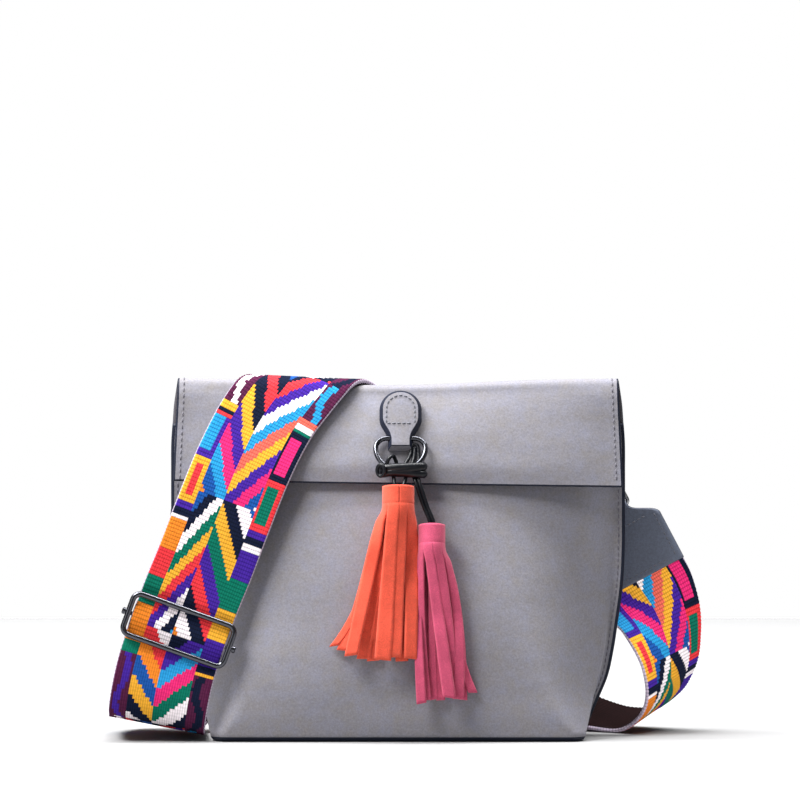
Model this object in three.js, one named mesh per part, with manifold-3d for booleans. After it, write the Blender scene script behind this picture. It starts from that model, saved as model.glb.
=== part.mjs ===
// A leather shoulder bag: a soft pouch whose back panel folds over the top as the flap, a small tab with a
// D-ring and two suede tassels, and a wide woven strap laid over the bag.
// Millimetres, +Z up, +X to the right of the front, the front faces -Y, origin under the middle of the base.

import * as THREE from "three";
import { mergeVertices } from "three/addons/utils/BufferGeometryUtils.js";
import Module from "manifold-3d";

// Pouch
const WALL = 1.8; // leather thickness
const GAP = 0.3; // play between pieces
const BASE_ROLL = 4; // radius of the edge where the walls turn under
const BASE_THICKNESS = 2;
const SECTION_STEPS = 18; // facets across a panel
const SEAM_WIDTH = 5; // of the side seams above the base
// Creases of the front: they start in the lower corners, bend inwards and run up. The facets between them and
// the side seams slope back, less towards the top.
const CREASE_FOOT = 91;
const CREASE_HEAD = 64;
const CREASE_BEND = 38;
const CREASE_SLOPE = { foot: 1.15, top: 0.12, height: 156 };
const CREASE_SOFTNESS = 2;

// Pouch sections: height, half width to the edge of the side seam, width of that seam, bulge of the front
// and of the back, and squareness of the outline (2 is an ellipse).
const SECTIONS = [
  { z: 4, half: 98.3, seam: 1, front: 36.5, back: 36, square: 24 },
  { z: 12, half: 101.4, seam: 2, front: 37, back: 35.5, square: 13 },
  { z: 20, half: 104.8, seam: 3.5, front: 37, back: 34.5, square: 8 },
  { z: 32, half: 109.7, seam: SEAM_WIDTH, front: 36.8, back: 32.5, square: 5 },
  { z: 45, half: 112.6, seam: SEAM_WIDTH, front: 36, back: 30, square: 3.8 },
  { z: 60, half: 114.9, seam: SEAM_WIDTH, front: 34.3, back: 27, square: 3 },
  { z: 80, half: 117.6, seam: SEAM_WIDTH, front: 31, back: 23, square: 2.5 },
  { z: 100, half: 118.6, seam: SEAM_WIDTH, front: 26.5, back: 19, square: 2.2 },
  { z: 120, half: 118.7, seam: SEAM_WIDTH, front: 21.4, back: 15.2, square: 2.05 },
  { z: 140, half: 118.7, seam: SEAM_WIDTH, front: 15, back: 11.5, square: 2 },
  { z: 155, half: 118.6, seam: SEAM_WIDTH, front: 10, back: 9, square: 2 },
  { z: 164, half: 118, seam: SEAM_WIDTH, front: 8, back: 8, square: 2 },
];

// The back panel goes on over the top and down the front: outer y in the middle and at the side edges.
const FLAP_ROWS = [
  { z: 174, half: 117.3, middle: 8.6, edge: 2.4 },
  { z: 182, half: 116.2, middle: 6, edge: 2.2 },
  { z: 186.5, half: 115.5, middle: 2.6, edge: 0.6 },
  { z: 188, half: 115.2, middle: -1.5, edge: -1.6 },
  { z: 186.5, half: 115.2, middle: -6, edge: -4.6 },
  { z: 182, half: 115.2, middle: -7.6, edge: -6.6 },
  { z: 174, half: 115.4, middle: -11.2, edge: -8.2 },
  { z: 165, half: 115.8, middle: -14.8, edge: -9.4 },
  { z: 150, half: 116.4, middle: -20, edge: -12 },
  { z: 142, half: 116.7, middle: -22.2, edge: -13.3 },
  { z: 133, half: 117, middle: -22.7, edge: -14.8 },
];
const FLAP_ARCH = 2.2; // the front of the flap bows less than an ellipse
const FOLD_SAG = { x: -7, depth: 3.7, spread: 65, from: 160, top: 188 }; // dip of the top fold
const FLAP_SLOPE = Math.atan(1 / 3); // lean of the front of the flap
const FLAP_POINT = { y: -15, z: 165 }; // a point on the flap's face, in the middle

// Flap tab and D-ring, measured down the face of the flap from FLAP_POINT
const TAB_X = 1.3;
const TAB_THICKNESS = 4.6; // two layers of leather, folded round the ring
const TAB_TOP = 16.7;
const TAB_HALF = 11;
const TAB_SHOULDER = -1.2;
const TAB_SHOULDER_ROUND = { side: 0.6, height: 2 }; // cut off each shoulder
const TAB_NECK_TOP = -9;
const TAB_NECK_HALF = 5.5;
const TAB_BOTTOM = -14.6;
const RING_BAR = -9.8; // height of the straight bar of the ring
const RING_WIRE = 2.2;
const RING_HALF = 12.9; // to the middle of the wire
const RING_BOTTOM = { y: -29.5, z: 140.4 };
const RING_CORNER = 3; // bend between the bar and the round of the ring
const RING_CORNER_STEPS = 3;
const RING_STEPS = 14;
const WIRE_SIDES = 8;
const ROUND_STEPS = 10; // facets of the tab's arch and of turned pieces

// Cord with its knot and tassels
const CORD_DIAMETER = 2.6;
const CORD_DRAWN_IN = 2.2; // the cord's diameter where the knot pulls it tight
const KNOT = { x: 1.4, y: -29.5, half: 11.7, depth: 3, square: 0.7, steps: 16 };
const WRAP_HEIGHTS = [142.5, 138.8];
const KNOT_CORE = { half: 8.8, depth: 5.4 };
// The loop over the ring's wire, and the drop to the lower tassel: y is measured from the knot.
const OVER_RING = [
  { x: -6.5, y: -2, z: 142.5 },
  { x: -4.5, y: -2.6, z: 146.5 },
  { x: -2.6, y: 0, z: 147.6 },
  { x: -1.2, y: 1.5, z: 145 },
  { x: -0.5, y: 1, z: 142.5 },
];
const LONG_DROP = [
  { x: 8.4, y: 0, z: 138.8 },
  { x: 10.4, y: -3.6, z: 133 },
  { x: 14, y: -5, z: 122 },
];
const SHORT_DROP = { apart: 1.7, top: 2.2, foot: 0.8 }; // two cords side by side, closing towards the tassel
const CORD_STEPS = 9;
const HEAD_BORE = 3.2;
const HEAD_WALL = 1.6;
const HEAD_EDGE = 0.8; // rounding of the head's upper rim
const HEAD_TAPER = 0.3;
const STRIP_THICKNESS = 1.5;
const STRIP_STEPS = 4;
const STRIP_TUCK = 3; // length of a strip inside the head
const STRIP_STAND_OFF = 4.5; // from the pouch to the hindmost strips
const STRIP_TWIST = 0.25;
const STRIP_FLATTEN = 0.7; // how far a strip's foot turns parallel to the pouch
const STRIP_FAN_POWER = 1.2; // the fan opens more towards the feet
const STRIP_DRIFT_POWER = 1.5;
const STRIP_RAGGED = { waves: 1.5, phase: 1, right: 0.6 }; // uneven feet round the tassel
const HEAD_FACETS = 16;
const TASSELS = [
  {
    name: "tassel_orange", suede: { color: 0xf2613a, roughness: 0.95 }, x: 0.1, y: -34.6, top: 132.9,
    radius: 8.3, head: 12, strips: 9, width: 7, bottom: 42, spread: 16.5, drift: -11, curl: 9,
  },
  {
    name: "tassel_pink", suede: { color: 0xc9486f, roughness: 0.95 }, x: 17.4, y: -36.5, top: 113.2,
    radius: 7, head: 11, strips: 8, width: 6.2, bottom: 20.5, spread: 11.5, drift: 5, curl: 6,
  },
];

// Strap: centre line and the direction across it, from the right ring round the bag to the left ring.
const STRAP_HALF = 25;
const STRAP_THICKNESS = 2;
const STRAP_COLUMNS = 5;
const STRAP_STEP = 13;
const RIGHT_LEG = [
  { x: 115.9, y: 18.5, z: 104.8, across: [0.885, 0, 0.466] },
  { x: 121.9, y: 18.5, z: 93.3, across: [0.885, 0, 0.466] },
  { x: 128, y: 18.5, z: 81.8, across: [0.885, 0, 0.466] },
  { x: 138, y: 18, z: 64.5, across: [0.85, 0.45, 0.25] },
  { x: 144.2, y: 20.5, z: 44, across: [0.66, 0.73, 0.16] },
  { x: 144.6, y: 26, z: 28, across: [0.53, 0.83, 0.18] },
  { x: 139.8, y: 34, z: 16, across: [0.39, 0.91, 0.12] },
  { x: 128.5, y: 45, z: 7.2, across: [0.2, 0.97, 0.1] },
  { x: 111, y: 57.5, z: 6.2, across: [0.12, 0.97, 0.17] },
  { x: 88, y: 67, z: 12, across: [0.25, 0.87, 0.4] },
  { x: 67, y: 63, z: 28, across: [0.6, 0.4, 0.65] },
];
// Where the strap leans on the bag, seen from the side, from the back over the top fold to the front.
const LEAN = [
  { y: 52, z: 54 },
  { y: 36, z: 105 },
  { y: 21, z: 152 },
  { y: 13.5, z: 176 },
  { y: 7.5, z: 186.6 },
  { y: -1.5, z: 190 },
  { y: -9.5, z: 187.4 },
  { y: -14, z: 179 },
  { y: -20, z: 160 },
  { y: -27, z: 135 },
  { y: -31, z: 112 },
  { y: -34, z: 90 },
];
// The strap's centre on that line: distance along it from the top, towards the front, and x.
const TOP_LEG = [
  { run: -150, x: 53 },
  { run: -97, x: 20 },
  { run: -50, x: -13 },
  { run: -15, x: -38 },
  { run: 8.5, x: -53.9 },
  { run: 31.5, x: -68.7 },
  { run: 55, x: -80 },
  { run: 86, x: -92 },
];
const TOP_STEP = 6;
const LEAN_STEPS = 400; // samples of the leaning line
const LEFT_LEG = [
  { x: -100, y: -33.5, z: 92, across: [0.93, 0, -0.36] },
  { x: -107, y: -36, z: 74.6, across: [0.935, 0, -0.35], step: 2.7 },
  { x: -119, y: -39.2, z: 40.4, across: [0.945, 0, -0.33] },
  { x: -122.8, y: -39.5, z: 24, across: [0.955, 0, -0.295] },
  { x: -124.6, y: -35, z: 13.2, across: [0.957, 0, -0.29] },
  { x: -125, y: -26, z: 9.6, across: [0.957, 0, -0.29] },
  { x: -126, y: -12, z: 9, across: [0.96, 0, -0.28] },
  { x: -127, y: 8, z: 8, across: [0.97, 0, -0.22] },
  { x: -127, y: 28, z: 8, across: [0.98, -0.1, -0.15] },
  { x: -118, y: 50, z: 14, across: [0.95, -0.25, 0] },
  { x: -104, y: 53, z: 36, across: [0.99, -0.1, 0.05] },
  { x: -98, y: 46, z: 66, across: [1, 0, 0.03] },
  { x: -96, y: 36, z: 92, across: [1, 0, 0.03] },
  { x: -95.35, y: 30.8, z: 103.9, across: [1, 0, 0.03] },
  { x: -94.7, y: 25.6, z: 115.8, across: [1, 0, 0.03] },
];

// Slider on the strap
const SLIDER_HEIGHT = 57.6; // z of its middle
const SLIDER = { half: 27.5, rail: 11, corner: 4, wire: 3, bar: 2.2, barHalf: 31, knob: 2 };
const SLIDER_LIFT = 2.1; // frame plane in front of the strap's line
const BAR_LIFT = -0.8;
const WEAVE = 1.6; // how far the strap moves back under the rails and forward over the bar

// Leather ends of the strap, the rings and their loops, measured along the strap from the edge of the end
const STRAP_END = { side: 29, shoulder: 36, neckHalf: 12.2, thickness: 1.6, play: 0.5 };
const SIDE_RING = { low: 38.5, high: 52.5, half: 13.6, corner: 2.5, wire: 2 };
const LOOP = { half: 11, length: 15, thickness: 1.6 };
const RIGHT_SEWN = 7.1; // from the plane of the ring to the sewn end of its loop, towards the bag
const LEFT_SEWN = -1.2;
const FOLD_STEPS = 6; // of a strip folded round a bar

const FINISHES = {
  leather: { color: 0x8b8a8d, roughness: 0.7, metalness: 0 },
  slate: { color: 0x4a4f58, roughness: 0.6, metalness: 0 },
  gunmetal: { color: 0x5b5c60, roughness: 0.25, metalness: 1 },
  nickel: { color: 0xb9bbbe, roughness: 0.25, metalness: 1 },
  cord: { color: 0x1a1d26, roughness: 0.35, metalness: 0 },
  webbing: { color: 0xb8475a, roughness: 0.85, metalness: 0 },
};

const wasm = await Module();
wasm.setup();

const vec = (x, y, z) => new THREE.Vector3(x, y, z);

function bareGeometry(points, triangles) {
  const geometry = new THREE.BufferGeometry();
  const numbers = points.flatMap((point) => [point.x, point.y, point.z]);
  geometry.setAttribute("position", new THREE.Float32BufferAttribute(numbers, 3));
  geometry.setIndex(triangles);
  return geometry;
}

function signedVolume(points, triangles) {
  let volume = 0;
  for (let k = 0; k < triangles.length; k += 3) {
    const [a, b, c] = [points[triangles[k]], points[triangles[k + 1]], points[triangles[k + 2]]];
    volume += a.dot(b.clone().cross(c)) / 6;
  }
  return volume;
}

function closedGeometry(points, triangles) {
  if (signedVolume(points, triangles) < 0) {
    triangles.reverse();
  }
  return bareGeometry(points, triangles);
}

// Unit normals of a grid of points, by differences between neighbours.
function gridNormals(grid) {
  const last = grid.length - 1;
  const end = grid[0].length - 1;
  return grid.map((row, i) => row.map((_, j) => {
    const alongRow = row[Math.min(j + 1, end)].clone().sub(row[Math.max(j - 1, 0)]);
    const alongColumn = grid[Math.min(i + 1, last)][j].clone().sub(grid[Math.max(i - 1, 0)][j]);
    return alongRow.cross(alongColumn).normalize();
  }));
}

// A closed wall on a grid of points: one face lifted along the normals, the other sunk.
function sheetSolid(grid, lift, sink) {
  const normals = gridNormals(grid);
  const rows = grid.length;
  const columns = grid[0].length;
  const offsetGrid = (distance) => grid.flatMap((row, i) =>
    row.map((point, j) => point.clone().addScaledVector(normals[i][j], distance)));
  const points = [...offsetGrid(lift), ...offsetGrid(-sink)];
  const half = rows * columns;
  const triangles = [];
  const quad = (a, b, c, d) => triangles.push(a, b, c, a, c, d);
  for (let i = 0; i < rows - 1; i += 1) {
    for (let j = 0; j < columns - 1; j += 1) {
      const a = i * columns + j;
      quad(a, a + 1, a + columns + 1, a + columns);
      quad(half + a, half + a + columns, half + a + columns + 1, half + a + 1);
    }
  }
  const rim = [];
  for (let j = 0; j < columns; j += 1) rim.push(j);
  for (let i = 1; i < rows; i += 1) rim.push(i * columns + columns - 1);
  for (let j = columns - 2; j >= 0; j -= 1) rim.push((rows - 1) * columns + j);
  for (let i = rows - 2; i > 0; i -= 1) rim.push(i * columns);
  rim.forEach((from, k) => {
    const to = rim[(k + 1) % rim.length];
    quad(from, half + from, half + to, to);
  });
  return closedGeometry(points, triangles);
}

// A closed loop of round wire through points that lie in one plane.
function wireLoop(centres, planeNormal, radius, sides) {
  const count = centres.length;
  const points = centres.flatMap((centre, k) => {
    const tangent = centres[(k + 1) % count].clone().sub(centres[(k + count - 1) % count]).normalize();
    const outward = tangent.cross(planeNormal).normalize();
    return Array.from({ length: sides }, (_, s) => {
      const turn = (2 * Math.PI * s) / sides;
      return centre.clone().addScaledVector(outward, radius * Math.cos(turn))
        .addScaledVector(planeNormal, radius * Math.sin(turn));
    });
  });
  const triangles = [];
  for (let k = 0; k < count; k += 1) {
    for (let s = 0; s < sides; s += 1) {
      const next = ((k + 1) % count) * sides;
      const turn = (s + 1) % sides;
      triangles.push(k * sides + s, k * sides + turn, next + turn, k * sides + s, next + turn, next + s);
    }
  }
  return closedGeometry(points, triangles);
}

// A round cord through points, with flat ends.
function cordTube(points, diameter, steps, sides) {
  const section = new THREE.Shape();
  section.absarc(0, 0, diameter / 2, 0, 2 * Math.PI);
  const curve = new THREE.CatmullRomCurve3(points);
  return new THREE.ExtrudeGeometry(section, { steps, curveSegments: sides / 2, extrudePath: curve });
}

function toManifold(geometry) {
  const bare = geometry.clone();
  bare.deleteAttribute("normal");
  bare.deleteAttribute("uv");
  const merged = mergeVertices(bare, 1e-4);
  const vertProperties = new Float32Array(merged.attributes.position.array);
  const triVerts = new Uint32Array(merged.index.array);
  return new wasm.Manifold(new wasm.Mesh({ numProp: 3, vertProperties, triVerts }));
}

function fromManifold(solid) {
  const mesh = solid.getMesh();
  const geometry = new THREE.BufferGeometry();
  geometry.setAttribute("position", new THREE.BufferAttribute(new Float32Array(mesh.vertProperties), 3));
  geometry.setIndex(Array.from(mesh.triVerts));
  return geometry;
}

// The largest shell of a solid: pockets sealed between joined strips are filled.
function outerShell(solid) {
  const shells = solid.decompose();
  return shells.reduce((best, shell) => (shell.volume() > best.volume() ? shell : best));
}

function piece(name, geometry, finish) {
  const mesh = new THREE.Mesh(geometry, new THREE.MeshStandardMaterial(finish));
  mesh.name = name;
  return mesh;
}

// Depth of the front with flat facets between the creases and the side seams.
function creasedDepth(x, depth, z, bulge) {
  const above = Math.max(z - BASE_ROLL, 0);
  const ridge = CREASE_HEAD + (CREASE_FOOT - CREASE_HEAD) * Math.exp(-above / CREASE_BEND);
  const share = Math.min(above / CREASE_SLOPE.height, 1);
  const slope = THREE.MathUtils.lerp(CREASE_SLOPE.foot, CREASE_SLOPE.top, share);
  const facet = bulge - slope * (Math.abs(x) - ridge);
  const joined = Math.exp(-depth / CREASE_SOFTNESS) + Math.exp(-facet / CREASE_SOFTNESS);
  return Math.max(-CREASE_SOFTNESS * Math.log(joined), 0);
}

// Points across a pouch section, on the outer face: side -1 is the front, +1 the back.
function sectionRow(section, side, inset, z) {
  const reach = section.half - section.seam - inset;
  const bulge = (side < 0 ? section.front : section.back) - inset;
  const seamY = GAP + WALL;
  const row = [vec(-reach - section.seam, side * seamY, z)];
  for (let k = 0; k <= SECTION_STEPS; k += 1) {
    const turn = Math.PI * (1 - k / SECTION_STEPS);
    const power = 2 / section.square;
    const x = reach * Math.sign(Math.cos(turn)) * Math.abs(Math.cos(turn)) ** power;
    const out = bulge * Math.abs(Math.sin(turn)) ** power;
    const depth = side < 0 ? creasedDepth(x, out, z, bulge) : out;
    row.push(vec(k === SECTION_STEPS / 2 ? 0 : x, side * (seamY + depth), z));
  }
  row.push(vec(reach + section.seam, side * seamY, z));
  return row;
}

function pouchRows(side) {
  const foot = SECTIONS[0];
  const rolled = [0, Math.PI / 4].map((turn) =>
    sectionRow(foot, side, BASE_ROLL * (1 - Math.sin(turn)), BASE_ROLL * (1 - Math.cos(turn))));
  return [...rolled, ...SECTIONS.map((section) => sectionRow(section, side, 0, section.z))];
}

function frontPanel() {
  return sheetSolid(pouchRows(-1), 0, WALL);
}

// How far the strap and its own weight pull the fold down.
function foldSag(x, z) {
  const share = THREE.MathUtils.clamp((z - FOLD_SAG.from) / (FOLD_SAG.top - FOLD_SAG.from), 0, 1);
  return FOLD_SAG.depth * share * Math.exp(-(((x - FOLD_SAG.x) / FOLD_SAG.spread) ** 2));
}

function flapRow({ z, half, middle, edge }) {
  return sectionRow({ half, seam: SEAM_WIDTH, back: 1, square: 2 }, 1, 0, z).map((point) => {
    const share = Math.min(Math.abs(point.x) / (half - SEAM_WIDTH), 1);
    const bow = middle < 0 ? 1 - share ** FLAP_ARCH : Math.sqrt(1 - share ** 2);
    return vec(point.x, edge + (middle - edge) * bow, z - foldSag(point.x, z));
  });
}

function backPanel() {
  const rows = [...pouchRows(1), ...FLAP_ROWS.map(flapRow)];
  return sheetSolid(rows.map((row) => row.reverse()), 0, WALL);
}

function basePanel() {
  const foot = SECTIONS[0];
  const edge = BASE_ROLL + WALL / 2 + GAP;
  const front = sectionRow(foot, -1, edge, 0).slice(1, -1);
  const back = sectionRow(foot, 1, edge, 0).slice(1, -1).reverse();
  const outline = new THREE.Shape([...front, ...back].map((point) => new THREE.Vector2(point.x, point.y)));
  return new THREE.ExtrudeGeometry(outline, { depth: BASE_THICKNESS, bevelEnabled: false });
}

// Pear-shaped tab with a round way through its neck for the ring's bar.
function flapTab() {
  const { side, height } = TAB_SHOULDER_ROUND;
  const outline = new THREE.Shape();
  outline.moveTo(-TAB_NECK_HALF, TAB_BOTTOM);
  outline.lineTo(TAB_NECK_HALF, TAB_BOTTOM);
  outline.lineTo(TAB_NECK_HALF, TAB_NECK_TOP);
  outline.lineTo(TAB_HALF - side, TAB_SHOULDER - height);
  outline.lineTo(TAB_HALF, TAB_SHOULDER + height);
  outline.lineTo(TAB_HALF, TAB_TOP - TAB_HALF);
  outline.absarc(0, TAB_TOP - TAB_HALF, TAB_HALF, 0, Math.PI);
  outline.lineTo(-TAB_HALF, TAB_SHOULDER + height);
  outline.lineTo(-TAB_HALF + side, TAB_SHOULDER - height);
  outline.lineTo(-TAB_NECK_HALF, TAB_NECK_TOP);
  const slab = new THREE.ExtrudeGeometry(outline, {
    depth: TAB_THICKNESS, bevelEnabled: false, curveSegments: ROUND_STEPS,
  });
  slab.rotateX(Math.PI / 2);
  slab.translate(0, -GAP, 0);
  const radius = RING_WIRE / 2 + GAP;
  const way = new THREE.CylinderGeometry(radius, radius, 4 * TAB_NECK_HALF, ROUND_STEPS);
  way.rotateZ(Math.PI / 2);
  way.translate(0, -GAP - TAB_THICKNESS / 2, RING_BAR);
  return fromManifold(toManifold(slab).subtract(toManifold(way)));
}

// The flap's face as a frame: local z runs up the slope, local -y stands off the leather.
function onFlap(mesh) {
  mesh.position.set(TAB_X, FLAP_POINT.y, FLAP_POINT.z);
  mesh.rotation.x = -FLAP_SLOPE;
  return mesh;
}

function flapPoint(y, z) {
  const local = vec(0, y, z).applyAxisAngle(vec(1, 0, 0), -FLAP_SLOPE);
  return local.add(vec(TAB_X, FLAP_POINT.y, FLAP_POINT.z));
}

// Centre line of the D-ring: a straight bar at the top, round below.
function ringCentres() {
  const bar = flapPoint(-GAP - TAB_THICKNESS / 2, RING_BAR);
  const down = vec(0, RING_BOTTOM.y - bar.y, RING_BOTTOM.z - bar.z);
  const drop = down.length();
  down.normalize();
  const across = vec(1, 0, 0);
  const place = (x, low) => bar.clone().addScaledVector(across, x).addScaledVector(down, low);
  const bend = (side) => Array.from({ length: RING_CORNER_STEPS + 1 }, (_, k) => {
    const turn = (Math.PI / 2) * (k / RING_CORNER_STEPS);
    const x = RING_HALF - RING_CORNER + RING_CORNER * Math.sin(turn);
    return place(side * x, RING_CORNER - RING_CORNER * Math.cos(turn));
  });
  const round = Array.from({ length: RING_STEPS - 1 }, (_, k) => {
    const turn = Math.PI * ((k + 1) / RING_STEPS);
    return place(RING_HALF * Math.cos(turn), RING_CORNER + (drop - RING_CORNER) * Math.sin(turn));
  });
  const centres = [...bend(1), ...round, ...bend(-1).reverse()];
  return { centres, normal: across.clone().cross(down) };
}

function dRing(wire) {
  const { centres, normal } = ringCentres();
  return wireLoop(centres, normal, wire / 2, WIRE_SIDES);
}

// Cord wound twice round the foot of the ring, a loop over the wire, and a drop to each tassel.
function tasselCord() {
  const ovals = WRAP_HEIGHTS.map((z) => {
    const centres = Array.from({ length: KNOT.steps }, (_, k) => {
      const turn = (2 * Math.PI * k) / KNOT.steps;
      const x = KNOT.half * Math.sign(Math.cos(turn)) * Math.abs(Math.cos(turn)) ** KNOT.square;
      return vec(KNOT.x + x, KNOT.y + KNOT.depth * Math.sin(turn), z);
    });
    return toManifold(wireLoop(centres, vec(0, 0, 1), CORD_DIAMETER / 2, WIRE_SIDES));
  });
  const [upper, lower] = WRAP_HEIGHTS;
  const core = new THREE.BoxGeometry(2 * KNOT_CORE.half, KNOT_CORE.depth, upper - lower);
  core.translate(KNOT.x, KNOT.y, (upper + lower) / 2);
  const fromKnot = ({ x, y, z }) => vec(x, KNOT.y + y, z);
  const overRing = cordTube(OVER_RING.map(fromKnot), CORD_DIAMETER, CORD_STEPS, WIRE_SIDES);
  const [orange, pink] = TASSELS;
  const drops = [-SHORT_DROP.apart, SHORT_DROP.apart].map((x) => cordTube([
    vec(orange.x + SHORT_DROP.top * x, KNOT.y, lower),
    vec(orange.x + x, orange.y, orange.top),
    vec(orange.x + SHORT_DROP.foot * x, orange.y, orange.top - orange.head / 2),
  ], CORD_DRAWN_IN, CORD_STEPS, WIRE_SIDES));
  const longDrop = cordTube([
    ...LONG_DROP.map(fromKnot),
    vec(pink.x, pink.y, pink.top),
    vec(pink.x, pink.y, pink.top - pink.head / 2),
  ], CORD_DIAMETER, CORD_STEPS, WIRE_SIDES);
  const cords = [...drops, longDrop, overRing, core].map(toManifold);
  const cord = [...ovals, ...cords].reduce((whole, next) => whole.add(next));
  return fromManifold(cord.subtract(toManifold(dRing(RING_WIRE + 2 * GAP))));
}

// Outer face of the front panel.
function frontY(x, z) {
  const above = SECTIONS.findIndex((section) => section.z >= z);
  const high = SECTIONS[Math.max(above, 1)];
  const low = SECTIONS[Math.max(above, 1) - 1];
  const share = (z - low.z) / (high.z - low.z);
  const mix = (key) => low[key] + (high[key] - low[key]) * share;
  const reach = mix("half") - mix("seam");
  const square = mix("square");
  const inside = Math.max(1 - (Math.abs(x) / reach) ** square, 0);
  return -(GAP + WALL) - mix("front") * inside ** (1 / square);
}

// A rolled head with a bore for the cord, and strips that hang from it and fan out in front of the pouch.
function tassel(spec) {
  const low = spec.top - spec.head;
  const profile = [
    [HEAD_BORE, low], [spec.radius - HEAD_TAPER, low], [spec.radius, low + spec.head / 2],
    [spec.radius, spec.top - HEAD_EDGE], [spec.radius - HEAD_EDGE, spec.top], [HEAD_BORE, spec.top],
    [HEAD_BORE, low],
  ];
  const head = new THREE.LatheGeometry(profile.map(([x, y]) => new THREE.Vector2(x, y)), HEAD_FACETS);
  head.rotateX(Math.PI / 2);
  head.translate(spec.x, spec.y, 0);
  const strips = Array.from({ length: spec.strips }, (_, k) => {
    const turn = (2 * Math.PI * (k + 0.5)) / spec.strips;
    const wave = Math.abs(Math.cos(STRIP_RAGGED.waves * turn + STRIP_RAGGED.phase));
    const uneven = wave * (Math.cos(turn) < 0 ? 1 : STRIP_RAGGED.right);
    const tip = spec.bottom + spec.curl * uneven;
    const behind = Math.sin(turn) > 0;
    const rows = [];
    for (let s = 0; s <= STRIP_STEPS; s += 1) {
      const share = s / STRIP_STEPS;
      const z = low + STRIP_TUCK - share * (low + STRIP_TUCK - tip);
      const fan = spec.radius - HEAD_WALL + (spec.spread - spec.radius) * share ** STRIP_FAN_POWER;
      const x = spec.x + fan * Math.cos(turn) + spec.drift * share ** STRIP_DRIFT_POWER;
      const hanging = spec.y + (spec.radius - HEAD_WALL) * Math.sin(turn);
      const layer = behind ? 0 : STRIP_THICKNESS + GAP;
      const y = Math.min(hanging, frontY(x, z) - STRIP_STAND_OFF - layer);
      const yaw = turn + Math.PI / 2 + (behind ? -1 : 1) * share * STRIP_TWIST;
      const side = vec(Math.cos(yaw), Math.sin(yaw) * (1 - STRIP_FLATTEN * share), 0).setLength(spec.width / 2);
      rows.push([-1, 1].map((end) => vec(x, y, z).addScaledVector(side, end)));
    }
    return toManifold(sheetSolid(rows, STRIP_THICKNESS / 2, STRIP_THICKNESS / 2));
  });
  return fromManifold(outerShell(strips.reduce((whole, strip) => whole.add(strip), toManifold(head))));
}

// A station of the strap: its centre line point and a function that gives the points across it.
function straightStations(rows, first, last) {
  const curve = new THREE.CatmullRomCurve3(rows.map((row) => row.centre), false, "centripetal");
  const acrossCurve = new THREE.CatmullRomCurve3(rows.map((row) => row.across), false, "centripetal");
  const stations = [];
  for (let k = first; k < last; k += 1) {
    const span = rows[k].centre.distanceTo(rows[k + 1].centre);
    const count = Math.max(1, Math.round(span / (rows[k].step ?? STRAP_STEP)));
    for (let s = 0; s < count; s += 1) {
      const t = (k + s / count) / (rows.length - 1);
      const tangent = curve.getTangent(t);
      const across = acrossCurve.getPoint(t);
      across.addScaledVector(tangent, -across.dot(tangent)).normalize();
      const centre = curve.getPoint(t);
      stations.push({ centre, across, at: (v) => centre.clone().addScaledVector(across, v) });
    }
  }
  return stations;
}

function endStation({ centre, across }) {
  return { centre, across, at: (v) => centre.clone().addScaledVector(across, v) };
}

// The leaning line as a function of the distance from its top.
function leanLine() {
  const curve = new THREE.CatmullRomCurve3(LEAN.map(({ y, z }) => vec(0, y, z)), false, "centripetal");
  const fine = curve.getSpacedPoints(LEAN_STEPS);
  const length = curve.getLength();
  const top = fine.reduce((best, point, k) => (point.z > fine[best].z ? k : best), 0);
  return (run) => {
    const place = THREE.MathUtils.clamp(top + (run / length) * LEAN_STEPS, 0, LEAN_STEPS);
    const k = Math.min(Math.floor(place), LEAN_STEPS - 1);
    return fine[k].clone().lerp(fine[k + 1], place - k);
  };
}

function topStations() {
  const lean = leanLine();
  const flat = new THREE.SplineCurve(TOP_LEG.map(({ run, x }) => new THREE.Vector2(x, run)));
  const count = Math.round(flat.getLength() / TOP_STEP);
  return Array.from({ length: count + 1 }, (_, k) => {
    const centre = flat.getPointAt(k / count);
    const tangent = flat.getTangentAt(k / count);
    const at = (v) => {
      const spot = lean(centre.y - v * tangent.x);
      const x = centre.x + v * tangent.y;
      return vec(x, spot.y, spot.z - foldSag(x, spot.z));
    };
    const across = at(1).sub(at(-1)).normalize();
    return { centre: at(0), across, at };
  });
}

function legRow({ x, y, z, across, step }) {
  return { centre: vec(x, y, z), across: vec(...across).normalize(), step };
}

// All stations of the strap, with the slider's place among them.
function strapStations() {
  const top = topStations();
  const right = [...RIGHT_LEG.map(legRow), top[0], top[2]];
  const left = [top.at(-3), top.at(-1), ...LEFT_LEG.map(legRow)];
  const stations = [
    ...straightStations(right, 0, RIGHT_LEG.length),
    ...top.slice(0, -1),
    ...straightStations(left, 1, left.length - 1),
    endStation(left.at(-1)),
  ];
  stations.forEach((station, k) => {
    const before = stations[Math.max(k - 1, 0)].centre;
    const after = stations[Math.min(k + 1, stations.length - 1)].centre;
    station.tangent = after.clone().sub(before).normalize();
    station.normal = station.tangent.clone().cross(station.across).normalize();
  });
  const front = stations.filter((station) => station.centre.y < -WALL);
  const distance = (station) => Math.abs(station.centre.z - SLIDER_HEIGHT);
  const slider = front.reduce((best, station) => (distance(station) < distance(best) ? station : best));
  return { stations, slider };
}

// The strap dips under the slider's rails and rises over its bar.
function weaveOffset(station, slider) {
  const along = station.centre.clone().sub(slider.centre).dot(slider.tangent);
  const near = station.centre.distanceTo(slider.centre) < 2 * SLIDER.rail;
  return near && Math.abs(along) < 1.5 * SLIDER.rail ? WEAVE * Math.cos((Math.PI * along) / SLIDER.rail) : 0;
}

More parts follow.
